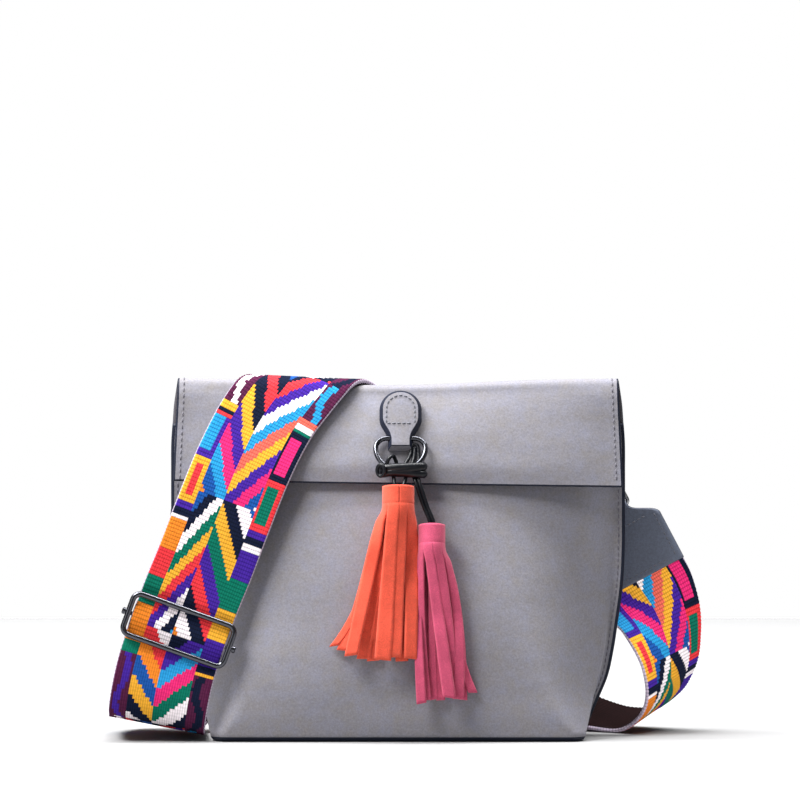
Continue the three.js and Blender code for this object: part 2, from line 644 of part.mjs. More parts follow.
function strapWebbing({ stations, slider }) {
  const grid = stations.map((station) => {
    const offset = station.normal.clone().multiplyScalar(weaveOffset(station, slider));
    return Array.from({ length: STRAP_COLUMNS + 1 }, (_, j) =>
      station.at(STRAP_HALF * ((2 * j) / STRAP_COLUMNS - 1)).add(offset));
  });
  return sheetSolid(grid, STRAP_THICKNESS / 2, STRAP_THICKNESS / 2);
}

// Rounded rectangle of wire in the plane of two directions.
function rectangleLoop(centre, across, along, halfAcross, halfAlong, corner, wire) {
  const centres = [];
  [[1, 1], [-1, 1], [-1, -1], [1, -1]].forEach(([sideA, sideB], quarter) => {
    for (let k = 0; k <= RING_CORNER_STEPS; k += 1) {
      const turn = (Math.PI / 2) * (quarter + k / RING_CORNER_STEPS);
      const a = sideA * (halfAcross - corner) + corner * Math.cos(turn);
      const b = sideB * (halfAlong - corner) + corner * Math.sin(turn);
      centres.push(centre.clone().addScaledVector(across, a).addScaledVector(along, b));
    }
  });
  return wireLoop(centres, across.clone().cross(along).normalize(), wire / 2, WIRE_SIDES);
}

function sliderFrame(slider) {
  const centre = slider.centre.clone().addScaledVector(slider.normal, SLIDER_LIFT);
  const { half, rail, corner, wire } = SLIDER;
  return rectangleLoop(centre, slider.across, slider.tangent, half, rail, corner, wire);
}

// Centre bar with a small knob past each short side of the frame.
function sliderBar(slider) {
  const { bar, barHalf, knob } = SLIDER;
  const neck = barHalf - knob + GAP;
  const profile = [
    [0, -barHalf], [knob, -barHalf], [knob, -neck], [bar / 2, -neck],
    [bar / 2, neck], [knob, neck], [knob, barHalf], [0, barHalf],
  ];
  const geometry = new THREE.LatheGeometry(profile.map(([x, y]) => new THREE.Vector2(x, y)), ROUND_STEPS);
  const turn = new THREE.Quaternion().setFromUnitVectors(vec(0, 1, 0), slider.across);
  geometry.applyQuaternion(turn);
  const centre = slider.centre.clone().addScaledVector(slider.normal, BAR_LIFT);
  geometry.translate(centre.x, centre.y, centre.z);
  return geometry;
}

// Frame of a strap end: where the webbing goes in, towards the ring, across, and the patterned side.
function endFrame(edge, tip) {
  const origin = legRow(edge);
  const along = legRow(tip).centre.sub(origin.centre).normalize();
  const across = origin.across.addScaledVector(along, -origin.across.dot(along)).normalize();
  return { origin: origin.centre, along, across };
}

// A leather strip that follows a line of steps in the plane of the along and bag directions.
function foldedStrip(frame, towardsBag, steps, thickness) {
  const grid = steps.map(({ along, out, half }) => [-1, 0, 1].map((end) => frame.origin.clone()
    .addScaledVector(frame.along, along)
    .addScaledVector(towardsBag, out)
    .addScaledVector(frame.across, end * half)));
  return sheetSolid(grid, thickness / 2, thickness / 2);
}

function roundBar(along, radius, half, direction) {
  return Array.from({ length: FOLD_STEPS - 1 }, (_, k) => {
    const turn = (Math.PI * (k + 1)) / FOLD_STEPS;
    return { along: along + direction * radius * Math.sin(turn), out: radius * Math.cos(turn), half };
  });
}

// House-shaped strap end: two layers round the webbing, folded round the ring's lower bar.
function strapEnd(frame, towardsBag) {
  const { side, shoulder, neckHalf, thickness, play } = STRAP_END;
  const out = (STRAP_THICKNESS + thickness) / 2 + play;
  const layer = [
    { along: 0, half: STRAP_HALF },
    { along: side / 2, half: STRAP_HALF },
    { along: side, half: STRAP_HALF },
    { along: shoulder, half: neckHalf },
    { along: SIDE_RING.low, half: neckHalf },
  ];
  const steps = [
    ...layer.map((step) => ({ ...step, out })),
    ...roundBar(SIDE_RING.low, out, neckHalf, 1),
    ...layer.map((step) => ({ ...step, out: -out })).reverse(),
  ];
  return foldedStrip(frame, towardsBag, steps, thickness);
}

function sideRing(frame) {
  const { low, high, half, corner, wire } = SIDE_RING;
  const centre = frame.origin.clone().addScaledVector(frame.along, (low + high) / 2);
  return rectangleLoop(centre, frame.across, frame.along, half, (high - low) / 2, corner, wire);
}

// Leather loop folded round the ring's upper bar, with both ends sewn to the back of the bag.
function sideLoop(frame, towardsBag, sewn) {
  const { half, length, thickness } = LOOP;
  const out = (SIDE_RING.wire + thickness) / 2 + GAP;
  const end = SIDE_RING.high + length;
  const steps = [
    { along: end, out: sewn, half },
    { along: SIDE_RING.high + length / 2, out: (sewn + out) / 2 + GAP, half },
    { along: SIDE_RING.high, out, half },
    ...roundBar(SIDE_RING.high, out, half, -1),
    { along: SIDE_RING.high, out: -out, half },
    { along: SIDE_RING.high + length / 2, out: (sewn - out) / 2 - thickness, half },
    { along: end, out: sewn - thickness - GAP, half },
  ];
  return foldedStrip(frame, towardsBag, steps, thickness);
}

function strapEndPieces(side, frame, towardsBag, sewn) {
  return [
    piece(`strap_tab_${side}`, strapEnd(frame, towardsBag), FINISHES.slate),
    piece(`side_ring_${side}`, sideRing(frame), FINISHES.nickel),
    piece(`side_loop_${side}`, sideLoop(frame, towardsBag, sewn), FINISHES.slate),
  ];
}

const bag = new THREE.Group();
bag.add(piece("front_panel", frontPanel(), FINISHES.leather));
bag.add(piece("back_panel", backPanel(), FINISHES.leather));
bag.add(piece("base_panel", basePanel(), FINISHES.leather));
bag.add(onFlap(piece("flap_tab", flapTab(), FINISHES.leather)));
bag.add(piece("d_ring", dRing(RING_WIRE), FINISHES.gunmetal));
bag.add(piece("tassel_cord", tasselCord(), FINISHES.cord));
TASSELS.forEach((spec) => bag.add(piece(spec.name, tassel(spec), spec.suede)));

const strap = strapStations();
bag.add(piece("strap_webbing", strapWebbing(strap), FINISHES.webbing));
bag.add(piece("slider_frame", sliderFrame(strap.slider), FINISHES.gunmetal));
bag.add(piece("slider_bar", sliderBar(strap.slider), FINISHES.gunmetal));

const rightFrame = endFrame(RIGHT_LEG[2], RIGHT_LEG[0]);
const leftFrame = endFrame(LEFT_LEG.at(-3), LEFT_LEG.at(-1));
const rightToBag = rightFrame.across.clone().cross(rightFrame.along);
const leftToBag = leftFrame.across.clone().cross(leftFrame.along);
bag.add(...strapEndPieces("right", rightFrame, rightToBag, RIGHT_SEWN));
bag.add(...strapEndPieces("left", leftFrame, leftToBag, LEFT_SEWN));

export default bag;
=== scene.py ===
"""A grey leather shoulder bag with a woven strap and two suede tassels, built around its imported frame."""
import math
import random

import bpy
import numpy as np
from mathutils import Matrix, Vector, noise


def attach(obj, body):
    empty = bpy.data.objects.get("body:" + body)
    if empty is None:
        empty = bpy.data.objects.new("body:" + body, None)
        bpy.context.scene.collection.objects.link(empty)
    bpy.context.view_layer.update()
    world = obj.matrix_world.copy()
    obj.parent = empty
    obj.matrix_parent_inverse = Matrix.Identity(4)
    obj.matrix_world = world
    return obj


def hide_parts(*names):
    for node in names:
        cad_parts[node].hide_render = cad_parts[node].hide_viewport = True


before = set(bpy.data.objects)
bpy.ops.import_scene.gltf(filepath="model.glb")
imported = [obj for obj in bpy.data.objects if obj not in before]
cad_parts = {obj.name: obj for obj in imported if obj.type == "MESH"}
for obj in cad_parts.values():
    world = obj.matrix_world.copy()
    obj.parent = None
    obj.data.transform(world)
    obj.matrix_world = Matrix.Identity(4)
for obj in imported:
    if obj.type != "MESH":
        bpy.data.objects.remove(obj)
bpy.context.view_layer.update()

bl_info = {
    "name": "Leather Shoulder Bag",
    "version": (1, 0, 0),
    "blender": (4, 5, 0),
    "location": "3D View > Sidebar > Bag",
    "description": "Builds a leather shoulder bag with a woven strap and suede tassels",
    "category": "Add Mesh",
}

# Shapes are worked out in millimetres, in the frame's own axes, and stored in metres.
MM = 0.001
BODY = "root"

GAP = 0.3  # between neighbouring pieces
BASE_ROLL = 4
SEAM_WIDTH = 5
# Pouch: height, half width to the edge of the side seam, width of that seam, bulge of the front and of the
# back, and squareness of the outline (2 is an ellipse)
SECTION_COLUMNS = ("z", "half", "seam", "front", "back", "square")
SECTIONS = (
    (4, 98.3, 1, 36.5, 36, 24),
    (12, 101.4, 2, 37, 35.5, 13),
    (20, 104.8, 3.5, 37, 34.5, 8),
    (32, 109.7, SEAM_WIDTH, 36.8, 32.5, 5),
    (45, 112.6, SEAM_WIDTH, 36, 30, 3.8),
    (60, 114.9, SEAM_WIDTH, 34.3, 27, 3),
    (80, 117.6, SEAM_WIDTH, 31, 23, 2.5),
    (100, 118.6, SEAM_WIDTH, 26.5, 19, 2.2),
    (120, 118.7, SEAM_WIDTH, 21.4, 15.2, 2.05),
    (140, 118.7, SEAM_WIDTH, 15, 11.5, 2),
    (155, 118.6, SEAM_WIDTH, 10, 9, 2),
    (164, 118, SEAM_WIDTH, 8, 8, 2),
)
# The back panel goes on over the top and down the front: outer y in the middle and at the side edges
FLAP_COLUMNS = ("z", "half", "middle", "edge")
FLAP_ROWS = (
    (174, 117.3, 8.6, 2.4),
    (182, 116.2, 6, 2.2),
    (186.5, 115.5, 2.6, 0.6),
    (188, 115.2, -1.5, -1.6),
    (186.5, 115.2, -6, -4.6),
    (182, 115.2, -7.6, -6.6),
    (174, 115.4, -11.2, -8.2),
    (165, 115.8, -14.8, -9.4),
    (150, 116.4, -20, -12),
    (142, 116.7, -22.2, -13.3),
    (133, 117, -22.7, -14.8),
)
FLAP_ARCH = 2.2     # power of the flap's bow across the bag
FLAP_ARCH_RUN = 30  # length in which the pouch's ellipse turns into that bow
HEM_TILT = 0.0145   # drop of the hem for each millimetre to the right
FOLD_SAG = {"x": -7, "depth": 3.7, "spread": 65, "from": 160, "top": 188}  # dip of the top fold
PANEL_COLUMNS = 150
PANEL_STEP = 1.5
ROLL_STEPS = 8
PAINT_LAP = {"seam": 1.5, "flap": 0.8, "hem": 0.6}  # how far the edge paint shows on the face
DARK_FOOT = 2.6  # the roll under the base is dark up to this height
SEAM_SOFTENING = {"passes": 8, "reach": 15}  # rounds the crease between a seam and the bulge
# Creases of the front: at the foot they start in the lower corners, then they bend inwards and run up. The
# facets between them and the side seams slope back. Slope and softness are at the foot and at their tops.
CREASE = {
    "foot": 91, "head": 64, "bend": 38,
    "slope": (1.15, 0.12), "slope_top": 160, "soft": (0.5, 4.5), "soft_top": 70,
}
# Slow waves of soft leather: their size and height, and where they fade out
WAVES = {"pouch": (42, 0.9), "flap": (38, 0.7), "strip": (16, 0.7)}
WAVE_APART = 40  # gives the front and the back waves of their own
WAVE_FADE = {"depth": 12, "foot": 20, "flap": 6}
BASE_ROWS = 40
BASE_COLUMNS = 60
BASE_END = 0.998  # share of the depth at which the base ends in a short straight edge
FLESH = {"roughness": 0.9, "sheen": 0.2}  # inner side of the leather
CUT_EDGE = {"leather": 0.25, "suede": 0.2, "webbing": 0.5}  # how far a cut edge bulges

# Stitches: rings of one stitch (place and girth as shares), and sizes of the threads
STITCH_RINGS = ((-0.5, 0.35), (-0.4, 0.8), (0, 1), (0.4, 0.8), (0.5, 0.35))
STITCH_SIDES = 6
STITCH_LIFT = 0.15
THREAD = {"panel": 0.75, "tab": 0.7, "end": 0.7}
TAB_STITCH = {"length": 1.9, "pitch": 2.6, "inset": 3.6, "foot": 1}
END_STITCH = {"length": 0.8, "pitch": 0.85, "corner": 3}  # shares of a panel's stitch, columns left free

# Flap tab and ring, measured on the slope of the flap from a point on its face
FLAP_SLOPE = math.atan(1 / 3)
FLAP_POINT = (1.3, -15, 165)
TAB = {
    "top": 16.7, "half": 11, "shoulder": -1.2, "neck_top": -9, "neck_half": 6.5, "bottom": -16,
    "thick": 4.6, "round": 2.2,
}
TAB_PADDING = {"foot": 1.6, "slope": 1.7, "bevel": 0.45}  # upright foot, then sides that slope in
TAB_FACE = 0.93    # faces that look this much off the flap are leather, the others are painted
TAB_FOLDED = 0.75  # faces that look this much down are the fold round the ring
RING = {"bar": -9.8, "wire": 2.7, "half": 12.9, "corner": 6, "round": 0.95, "bottom": (-29.5, 140.4)}
CIRCLE_POINTS = 72
BAR_POINTS = 24
TOUCH = 0.01  # tolerance when points are picked or compared

# Cord with its knot, and the tassels
KNOT = {"x": 2.6, "y": -29.5, "half": 10.5, "depth": 3.1, "square": 0.6, "cord": 4.4}
WRAPS = ((141.7, 0.5), (138.7, -0.5), (140.2, 1.7))  # height of each turn, and its tilt
WRAP_POINTS = 65
SIDE_LOOP = {"x": -8.9, "depth": -4.6, "z": 140.1, "half": 1.9, "height": 2.9}  # at the knot's left end
SIDE_LOOP_POINTS = 41
CORD_STEP = 0.6
BACK_LOOPS = (
    ((3.5, 3, 143), (6.4, 6.6, 148), (7.6, 8.4, 153), (9.8, 8.2, 153), (10.7, 6.2, 147.5), (10.4, 3.6, 142)),
    ((7, 3.4, 142), (8.4, 5.6, 147), (8.7, 7.4, 151.5)),
)
OVER_RING = ((-6.5, -2, 142.5), (-4.5, -2.6, 146.5), (-2.6, 0, 147.6), (-1.2, 1.5, 145), (-0.5, 1, 142.5))
LONG_DROP = ((8.4, 0, 138.8), (10.4, -3.6, 133), (14, -5, 122))
TWIN = 0.95  # half the distance between the two cords of the long drop
SHORT_DROP = ((1, 3.6), (0.5, 2.4), (0, 1.4))  # shift and half distance of its cords, from top to foot
ORANGE = {
    "x": 0.1, "y": -34.6, "top": 132.9, "radius": 8.3, "head": 9, "lean": 0.14, "seam": -86, "turns": 1.2,
}
PINK = {
    "x": 17.4, "y": -36.5, "top": 113.2, "radius": 7, "head": 9.5, "lean": 0.2, "seam": 90, "turns": 1.2,
}
# Strips of the tassels: place and width on the rolled head in degrees (-90 is the front), lift off the
# head's radius, x, z and width of the foot, its distance from the leather, how far the strip bows to the
# right, and how far its tip flicks to the right
STRIP_NAMES = ("turn", "span", "lift", "foot_x", "foot_z", "width", "depth", "bow", "flick")
ORANGE_STRIPS = (
    (-156, 52, 0, -24.2, 45.2, 6.6, 6, 0, 0),
    (-108, 50, 0, -7.8, 43, 8.2, 7.4, 0, 0),
    (-69, 33, 0, -1.2, 44.4, 5.6, 6.8, 0, 0),
    (-26, 56, 0, 6.4, 43.6, 6.4, 6.2, 0.4, 0),
    (26, 52, 0, 5, 46, 6, 0.4, 0, 0),
    (74, 50, 0, -2, 45, 6.4, 0.3, 0, 0),
    (121, 50, 0, -12.5, 44, 6.6, 0.3, 0, 0),
    (163, 42, 0, -25, 47.6, 5.2, 1.8, 0, -4),
    (-175, 34, -4.4, -25, 49.8, 4.6, 1.2, 0, -8),
    (-132, 44, -4.4, -17.8, 43.2, 7, 0.8, 0, 0),
    (-100, 40, -4.4, -12.8, 42.2, 6.4, 0.5, 0, 0),
    (-50, 40, -4.4, 2, 42, 6.4, 0.6, 0, 0),
)
PINK_STRIPS = (
    (-168, 28, 0, 12.1, 20.6, 4.9, 5.4, -1.2, 0),
    (-143, 28, 0, 15.2, 22.2, 3.4, 3.4, -1.4, 0),
    (-108, 48, 0, 26.4, 23.6, 6.4, 7, 0, 0),
    (-66, 40, 0, 27.6, 24.4, 5.6, 3.6, 1.6, 0),
    (-28, 40, 0, 30.9, 22.8, 5.6, 4.4, 3.6, 0),
    (10, 42, 0, 33.3, 22.2, 4.6, 0.8, 2.6, 0),
    (53, 50, 0, 27, 24, 5.6, 0.3, 1, 0),
    (103, 54, 0, 21, 23, 5.6, 0.3, 0, 0),
    (152, 50, 0, 16, 22.6, 5.2, 0.4, -0.6, 0),
    (0, 40, -3.6, 33, 25.8, 4.6, 1, 1, 5.6),
    (-112, 40, -3.6, 18.4, 22.4, 4.2, 1, 0, 0),
    (-60, 40, -3.6, 22, 22, 4.4, 0.7, 0, 0),
)
STRIP_ROWS = 48
STRIP_COLUMNS = 7
STRIP = {
    "settle": 0.14,  # share of its length in which a strip leaves the round of the head
    "turn": 0.4,     # share of its length in which it turns to face the front
    "squarely": 0.85,  # how much it then faces the front
    "sideways": 110,   # strips that look further back than this turn their reverse to the front
    "clear": 1.6,    # from the leather to the hindmost strips
    "push": 1.6,     # how early a strip comes off the leather
    "blend": 0.8,    # sharpness of the bend where it meets the leather
    "apart": 0.95,   # width at the head, as a share of the strip's span
    "flick": 5,      # how late a tip flicks
    "skew": 0.5,     # slant of the cut foot
}
COLLAR = {"tuck": 0.8, "fade": 1.4, "open": 0.22, "rows": 12, "columns": 90}
ROLL = {"inset": 3.2, "pitch": 2.2, "below": 0.4, "rows": 6, "columns": 80}  # inset, pitch in half walls

# Strap: centre line and the direction across it, from the right ring round the bag to the left ring
STRAP_HALF = 25
STRAP_COLUMNS = 40
STRAP_LEAD = 12  # length at which two stretches of the strap agree before they join
NUDGE = 0.01     # step along the curve for its direction
LEAN_STEP = 0.5
RIGHT_LEG = (
    ((115.9, 18.5, 104.8), (0.885, 0, 0.466)),
    ((121.9, 18.5, 93.3), (0.885, 0, 0.466)),
    ((128, 18.5, 81.8), (0.885, 0, 0.466)),
    ((138, 18, 64.5), (0.85, 0.45, 0.25)),
    ((144.2, 20.5, 44), (0.66, 0.73, 0.16)),
    ((144.6, 26, 28), (0.53, 0.83, 0.18)),
    ((139.8, 34, 16), (0.39, 0.91, 0.12)),
    ((128.5, 45, 7.2), (0.2, 0.97, 0.1)),
    ((111, 57.5, 6.2), (0.12, 0.97, 0.17)),
    ((88, 67, 12), (0.25, 0.87, 0.4)),
    ((67, 63, 28), (0.6, 0.4, 0.65)),
)
# Where the strap leans on the bag, seen from the side (y, z), and its centre on that line (run from the
# top, x)
LEAN = (
    (52, 54), (36, 105), (21, 152), (13.5, 176), (7.5, 186.6), (-1.5, 190),
    (-9.5, 187.4), (-14, 179), (-20, 160), (-27, 135), (-31, 112), (-34, 90),
)
TOP_LEG = (
    (-150, 53), (-97, 20), (-50, -13), (-15, -38), (8.5, -53.9), (31.5, -68.7), (55, -80), (86, -92),
)
LEFT_LEG = (
    ((-100, -33.5, 92), (0.93, 0, -0.36)),
    ((-107, -36, 74.6), (0.935, 0, -0.35)),
    ((-119, -39.2, 40.4), (0.945, 0, -0.33)),
    ((-122.8, -39.5, 24), (0.955, 0, -0.295)),
    ((-124.6, -35, 12.8), (0.97, 0, -0.23)),
    ((-125, -26, 8.9), (0.978, 0, -0.2)),
    ((-126, -12, 8.4), (0.98, 0, -0.18)),
    ((-127, 8, 8), (0.982, 0, -0.16)),
    ((-127, 28, 8), (0.98, -0.1, -0.15)),
    ((-118, 50, 14), (0.95, -0.25, 0)),
    ((-104, 53, 36), (0.99, -0.1, 0.05)),
    ((-98, 46, 66), (1, 0, 0.03)),
    ((-96, 36, 92), (1, 0, 0.03)),
    ((-95.35, 30.8, 103.9), (1, 0, 0.03)),
    ((-94.7, 25.6, 115.8), (1, 0, 0.03)),
)
SLIDER = {
    "height": 57.6, "half": 27.5, "rail": 11, "corner": 4, "lift": 2.1, "bar_lift": -0.8, "bar_half": 31,
}
BAR_HEAD = {"girth": 1.6, "length": 1.4, "dome": 0.4, "tip": 0.7}
WEAVE = 1.6
WEAVE_REACH = (2, 1.5)  # how far the strap weaves round the slider, in rails: at all, and along the strap
STRAP_END = {"side": 29, "shoulder": 36, "neck_half": 12.2, "play": 0.5, "margin": 0.6, "soft": 2}
END_LEATHER = 1.6
END_SEWN = (3, 30)  # rows between which it is sewn to the webbing
END_ROWS = 40
END_COLUMNS = 25
FOLD_STEPS = 11
SIDE_RING = {"low": 38.5, "high": 52.5, "half": 13.6, "corner": 2.5, "wire": 2}
LOOP = {"half": 11, "length": 15}
STRAP_ENDS = {
    "right": {"edge": RIGHT_LEG[2], "tip": RIGHT_LEG[0], "sewn": 7.1},
    "left": {"edge": LEFT_LEG[-3], "tip": LEFT_LEG[-1], "sewn": -1.2},
}

# Yarns of the strap
YARNS = {
    "red": "#D0333A", "orange": "#D77926", "amber": "#D89C30", "magenta": "#D02869", "violet": "#3C2187",
    "navy": "#10172C", "white": "#E4DBDF", "green": "#0A6350", "sky": "#2687BC", "royal": "#1A4A90",
    "coral": "#D05C4E", "plum": "#491B38",
}
YARN_SEED = 7
YARN_TONES = {"face": (0.9, 1.06), "reverse": (0.8, 1.2)}
# Centre field: chevrons that close towards the slider (+1) or open (-1), their length in ribs, the length of
# a stripe in ribs, how it slopes left and right of the spine in ribs per millimetre, and the yarns on either
# side
FIRST_STRIPE = {1: 0, -1: -4}
LEAVES = (
    (1, 44, 6, (0.95, 1.05), "royal navy red navy amber violet magenta sky royal orange navy amber",
     "navy red violet white sky coral amber violet magenta royal white navy"),
    (-1, 39, 6, (1.3, 0.8), "violet royal navy white green amber red violet white navy sky orange",
     "red royal white navy amber green violet red navy white orange sky"),
    (1, 27, 5, (0.58, 0.57), "white red orange royal amber navy white sky orange",
     "navy violet sky magenta green white navy red"),
)
# Borders: kind of block, its length in ribs, its yarn and its ground; they repeat with the field
LEFT_BORDER = (
    ("wave", 19, "white", "plum"), ("bars", 4, "amber navy red", ""), ("lined", 12, "sky", "violet"),
    ("framed", 13, "red", "amber"), ("bars", 5, "violet navy white", ""), ("block", 9, "orange", ""),
    ("block", 8, "red", ""), ("block", 8, "green", ""), ("block", 10, "orange", ""),
    ("block", 3, "green", ""), ("wave", 19, "violet", "plum"),
)
RIGHT_BORDER = (
    ("wave", 13, "sky", "plum"), ("bars", 5, "coral white green", ""), ("framed", 16, "magenta", "navy"),
    ("framed", 15, "green", "red"), ("bars", 6, "violet navy white", ""), ("block", 8, "violet", ""),
    ("block", 9, "green", ""), ("block", 9, "amber", ""), ("block", 8, "violet", ""),
    ("bars", 3, "navy amber", ""), ("wave", 18, "navy", "plum"),
)
# Where the webbing turns smooth, its painted groove shade fades with the ribs
SMOOTH_AFTER = 8    # rows below the middle of the slider at which the webbing turns smooth
SMOOTH_RIBS = 0.3   # what is left of the ribs there
LEFT_BORDER_WIDTH = 8.5
RIGHT_BORDER_WIDTH = 10.5
SPINE = 23
FRAME = 2  # width of a block's frame, in ribs and in millimetres
BORDER_WAVE = {"ribs": 16, "middle": 0.5, "swing": 0.2, "half": 0.2}

# Stage, in metres: paper, and the lights with their places, aims and sizes. Each light's power is the
# property of its name. Some lights reach one piece alone.
PAPER = {"size": 6, "cut": 1.7}
PAPER_TONES = ((0.26, 0.26, 0.262, 1), (0.28, 0.28, 0.282, 1))
WHITE = (1, 1, 1, 1)
BAG_MIDDLE = (0, 0, 0.09)
LIGHTS = (
    ("key", (-0.85, -0.45, 1.36), BAG_MIDDLE, (1, 0.5)),
    ("card", (-1.7, -1.5, 0.7), BAG_MIDDLE, (0.9, 0.9)),
    ("fill", (0.6, -2.2, 0.8), BAG_MIDDLE, (1, 1)),
    ("strap", (0.55, -0.8, 0.2), (0.145, 0.02, 0.06), (0.2, 0.2)),
    ("backdrop", (0, 0.1, 2.1), (0, 1.3, 0.7), (3, 0.5)),
    ("paper", (0, 0.8, 1.6), (0, 0.7, 0), (3, 1.4)),
)
LIT_ALONE = {"strap": "lit by the strap light", "paper": "lit by the paper light"}


def linear(code):
    """Linear colour of an sRGB hex value."""
    shares = [int(code[k:k + 2], 16) / 255 for k in (1, 3, 5)]
    return tuple(c / 12.92 if c <= 0.04045 else ((c + 0.055) / 1.055) ** 2.4 for c in shares)


def number_property(name, description, value, **settings):
    """A plain number."""
    return bpy.props.FloatProperty(name=name, description=description, default=value, **settings)


def length_property(name, description, size):
    """A length in metres whose default is given in millimetres."""
    return number_property(name, description, size * MM, unit="LENGTH", precision=5)


def colour_property(name, description, code):
    """A colour whose default is an sRGB hex value."""
    return bpy.props.FloatVectorProperty(
        name=name, description=description, default=linear(code), subtype="COLOR", min=0, max=1)


class BagLeather(bpy.types.PropertyGroup):
    """Leather panels and their sewing."""
    wall: length_property("Leather thickness", "Thickness of the leather panels", 1.8)
    light: colour_property("Leather, light", "Lighter tone of the grey leather", "#7D7D8A")
    dark: colour_property("Leather, dark", "Darker tone of the grey leather", "#7C7879")
    flesh: colour_property("Flesh side", "Inner side of the leather", "#565359")
    edge: colour_property("Edge paint", "Paint on the cut edges", "#1E2230")
    slate: colour_property("Slate leather", "Leather of the strap ends and loops", "#646B7C")
    thread: colour_property("Thread", "Sewing thread of the panels", "#5F5C67")
    dark_thread: colour_property("Dark thread", "Sewing thread of the tab and the strap ends", "#5E606B")
    stitch: length_property("Stitch length", "Length of one stitch", 2.3)
    pitch: length_property("Stitch pitch", "Distance from stitch to stitch", 3.3)
    inset: length_property("Stitch inset", "Distance of the stitches from a cut edge", 3.2)


class BagStrap(bpy.types.PropertyGroup):
    """Woven strap."""
    thick: length_property("Webbing thickness", "Thickness of the strap", 2)
    rib: length_property("Rib pitch", "Distance from rib to rib along the strap", 1.9)
    relief: length_property("Rib relief", "Height of the ribs", 0.42)
    lining: colour_property("Reverse", "Yarn on the reverse of the strap", "#140607")
    selvedge: colour_property("Selvedge", "Yarn along the edges of the strap", "#AFA2B4")


class BagTrim(bpy.types.PropertyGroup):
    """Metal trim, cord and tassels."""
    slider_wire: length_property("Slider wire", "Diameter of the slider's frame", 3)
    slider_bar: length_property("Slider bar", "Diameter of the slider's bar", 2.2)
    ring_wire: length_property("Side ring wire", "Diameter of the side rings' wire", SIDE_RING["wire"])
    cord: length_property("Cord", "Diameter of the tassel cord", 2)
    strip: length_property("Suede", "Thickness of the tassel strips", 1.3)
    gunmetal: colour_property("Gunmetal", "Plating of the ring and the slider", "#55565C")
    nickel: colour_property("Nickel", "Plating of the side rings", "#C9CACC")
    black: colour_property("Cord colour", "Waxed cord", "#0B0D13")
    orange: colour_property("Orange suede", "Upper tassel", "#DC553F")
    pink: colour_property("Pink suede", "Lower tassel", "#BF4D6B")


class BagStage(bpy.types.PropertyGroup):
    """Camera, floor and lights."""
    distance: number_property("Camera distance", "From the bag to the camera", 2.4, unit="LENGTH")
    height: number_property("Camera height", "Height of the level camera", 0.1765, unit="LENGTH")
    lens: number_property("Lens", "Focal length in millimetres", 206, min=1)
    key: number_property("Key light", "Power of the large soft key light", 52)
    fill: number_property("Fill light", "Power of the fill light", 1)
    card: number_property("Front card", "Power of the card that the metal reflects", 6)
    strap: number_property("Strap light", "Power of the narrow light on the right of the strap", 0.6)
    spread: number_property("Strap light's spread", "Angle of its cone", math.radians(50), unit="ROTATION")
    ambient: number_property("Surroundings", "Strength of the pale room", 0.1)
    backdrop: number_property("Backdrop light", "Power of the light on the paper behind the bag", 170)
    paper: number_property("Paper light", "Power of the light that only the paper gets", 48)


def add_node(tree, kind, settings=None, inputs=None):
    """Adds a node, sets its properties, and sets or links its inputs."""
    node = tree.nodes.new(kind)
    for key, value in (settings or {}).items():
        setattr(node, key, value)
    for key, value in (inputs or {}).items():
        if isinstance(value, bpy.types.NodeSocket):
            tree.links.new(value, node.inputs[key])
        else:
            node.inputs[key].default_value = value
    return node


def opaque(colour):
    """A colour property as the four numbers that a socket takes."""
    return (*colour, 1)


def start_material(name, sockets):
    """A new material with one shader, whose constant sockets are set by name."""
    material = bpy.data.materials.new(name)
    material.use_nodes = True
    tree = material.node_tree
    shader = tree.nodes["Principled BSDF"]
    for key, value in sockets.items():
        shader.inputs[key].default_value = value
    return material, tree, shader


def colour_between(tree, factor, first, second):
    """A mix of two colours, fixed ones or sockets, by a factor socket."""
    mix = add_node(tree, "ShaderNodeMix", {"data_type": "RGBA"}, {"Factor": factor})
    for socket, colour in ((mix.inputs[6], first), (mix.inputs[7], second)):
        if isinstance(colour, bpy.types.NodeSocket):
            tree.links.new(colour, socket)
        else:
            socket.default_value = colour
    return mix.outputs[2]


def per_metre(size):
    """Texture scale whose features are about this many millimetres apart."""
    return 1 / (size * MM)


def own_place(tree):
    """Texture coordinates that stay with the object."""
    return add_node(tree, "ShaderNodeTexCoord").outputs["Object"]


def speckle(tree, place, size, detail, roughness=0.5):
    """Noise with features of about this size."""
    return add_node(tree, "ShaderNodeTexNoise", None, {
        "Vector": place, "Scale": per_metre(size), "Detail": detail, "Roughness": roughness}).outputs["Fac"]


def ranged(tree, value, low, high, start=0, stop=1):
    """A value that goes from low to high while its source goes from start to stop."""
    return add_node(tree, "ShaderNodeMapRange", None, {
        "Value": value, "From Min": start, "From Max": stop, "To Min": low, "To Max": high}).outputs["Result"]


def calculated(tree, operation, *values):
    """Result of a sum on numbers or sockets."""
    node = add_node(tree, "ShaderNodeMath", {"operation": operation}, dict(enumerate(values)))
    return node.outputs["Value"]


def toned(tree, colour, factor):
    """A colour made lighter or darker by a factor socket."""
    return add_node(tree, "ShaderNodeVectorMath", {"operation": "SCALE"}, {
        0: colour, "Scale": factor}).outputs["Vector"]


def relief(tree, height, strength, depth, **under):
    """Normals of a fine relief, its depth in millimetres, on a plain surface or on other normals."""
    return add_node(tree, "ShaderNodeBump", None, {
        "Strength": strength, "Distance": depth * MM, "Height": height, **under}).outputs["Normal"]


def link_all(tree, shader, sockets):
    """Links the sockets that vary to a shader."""
    for key, value in sockets.items():
        tree.links.new(value, shader.inputs[key])


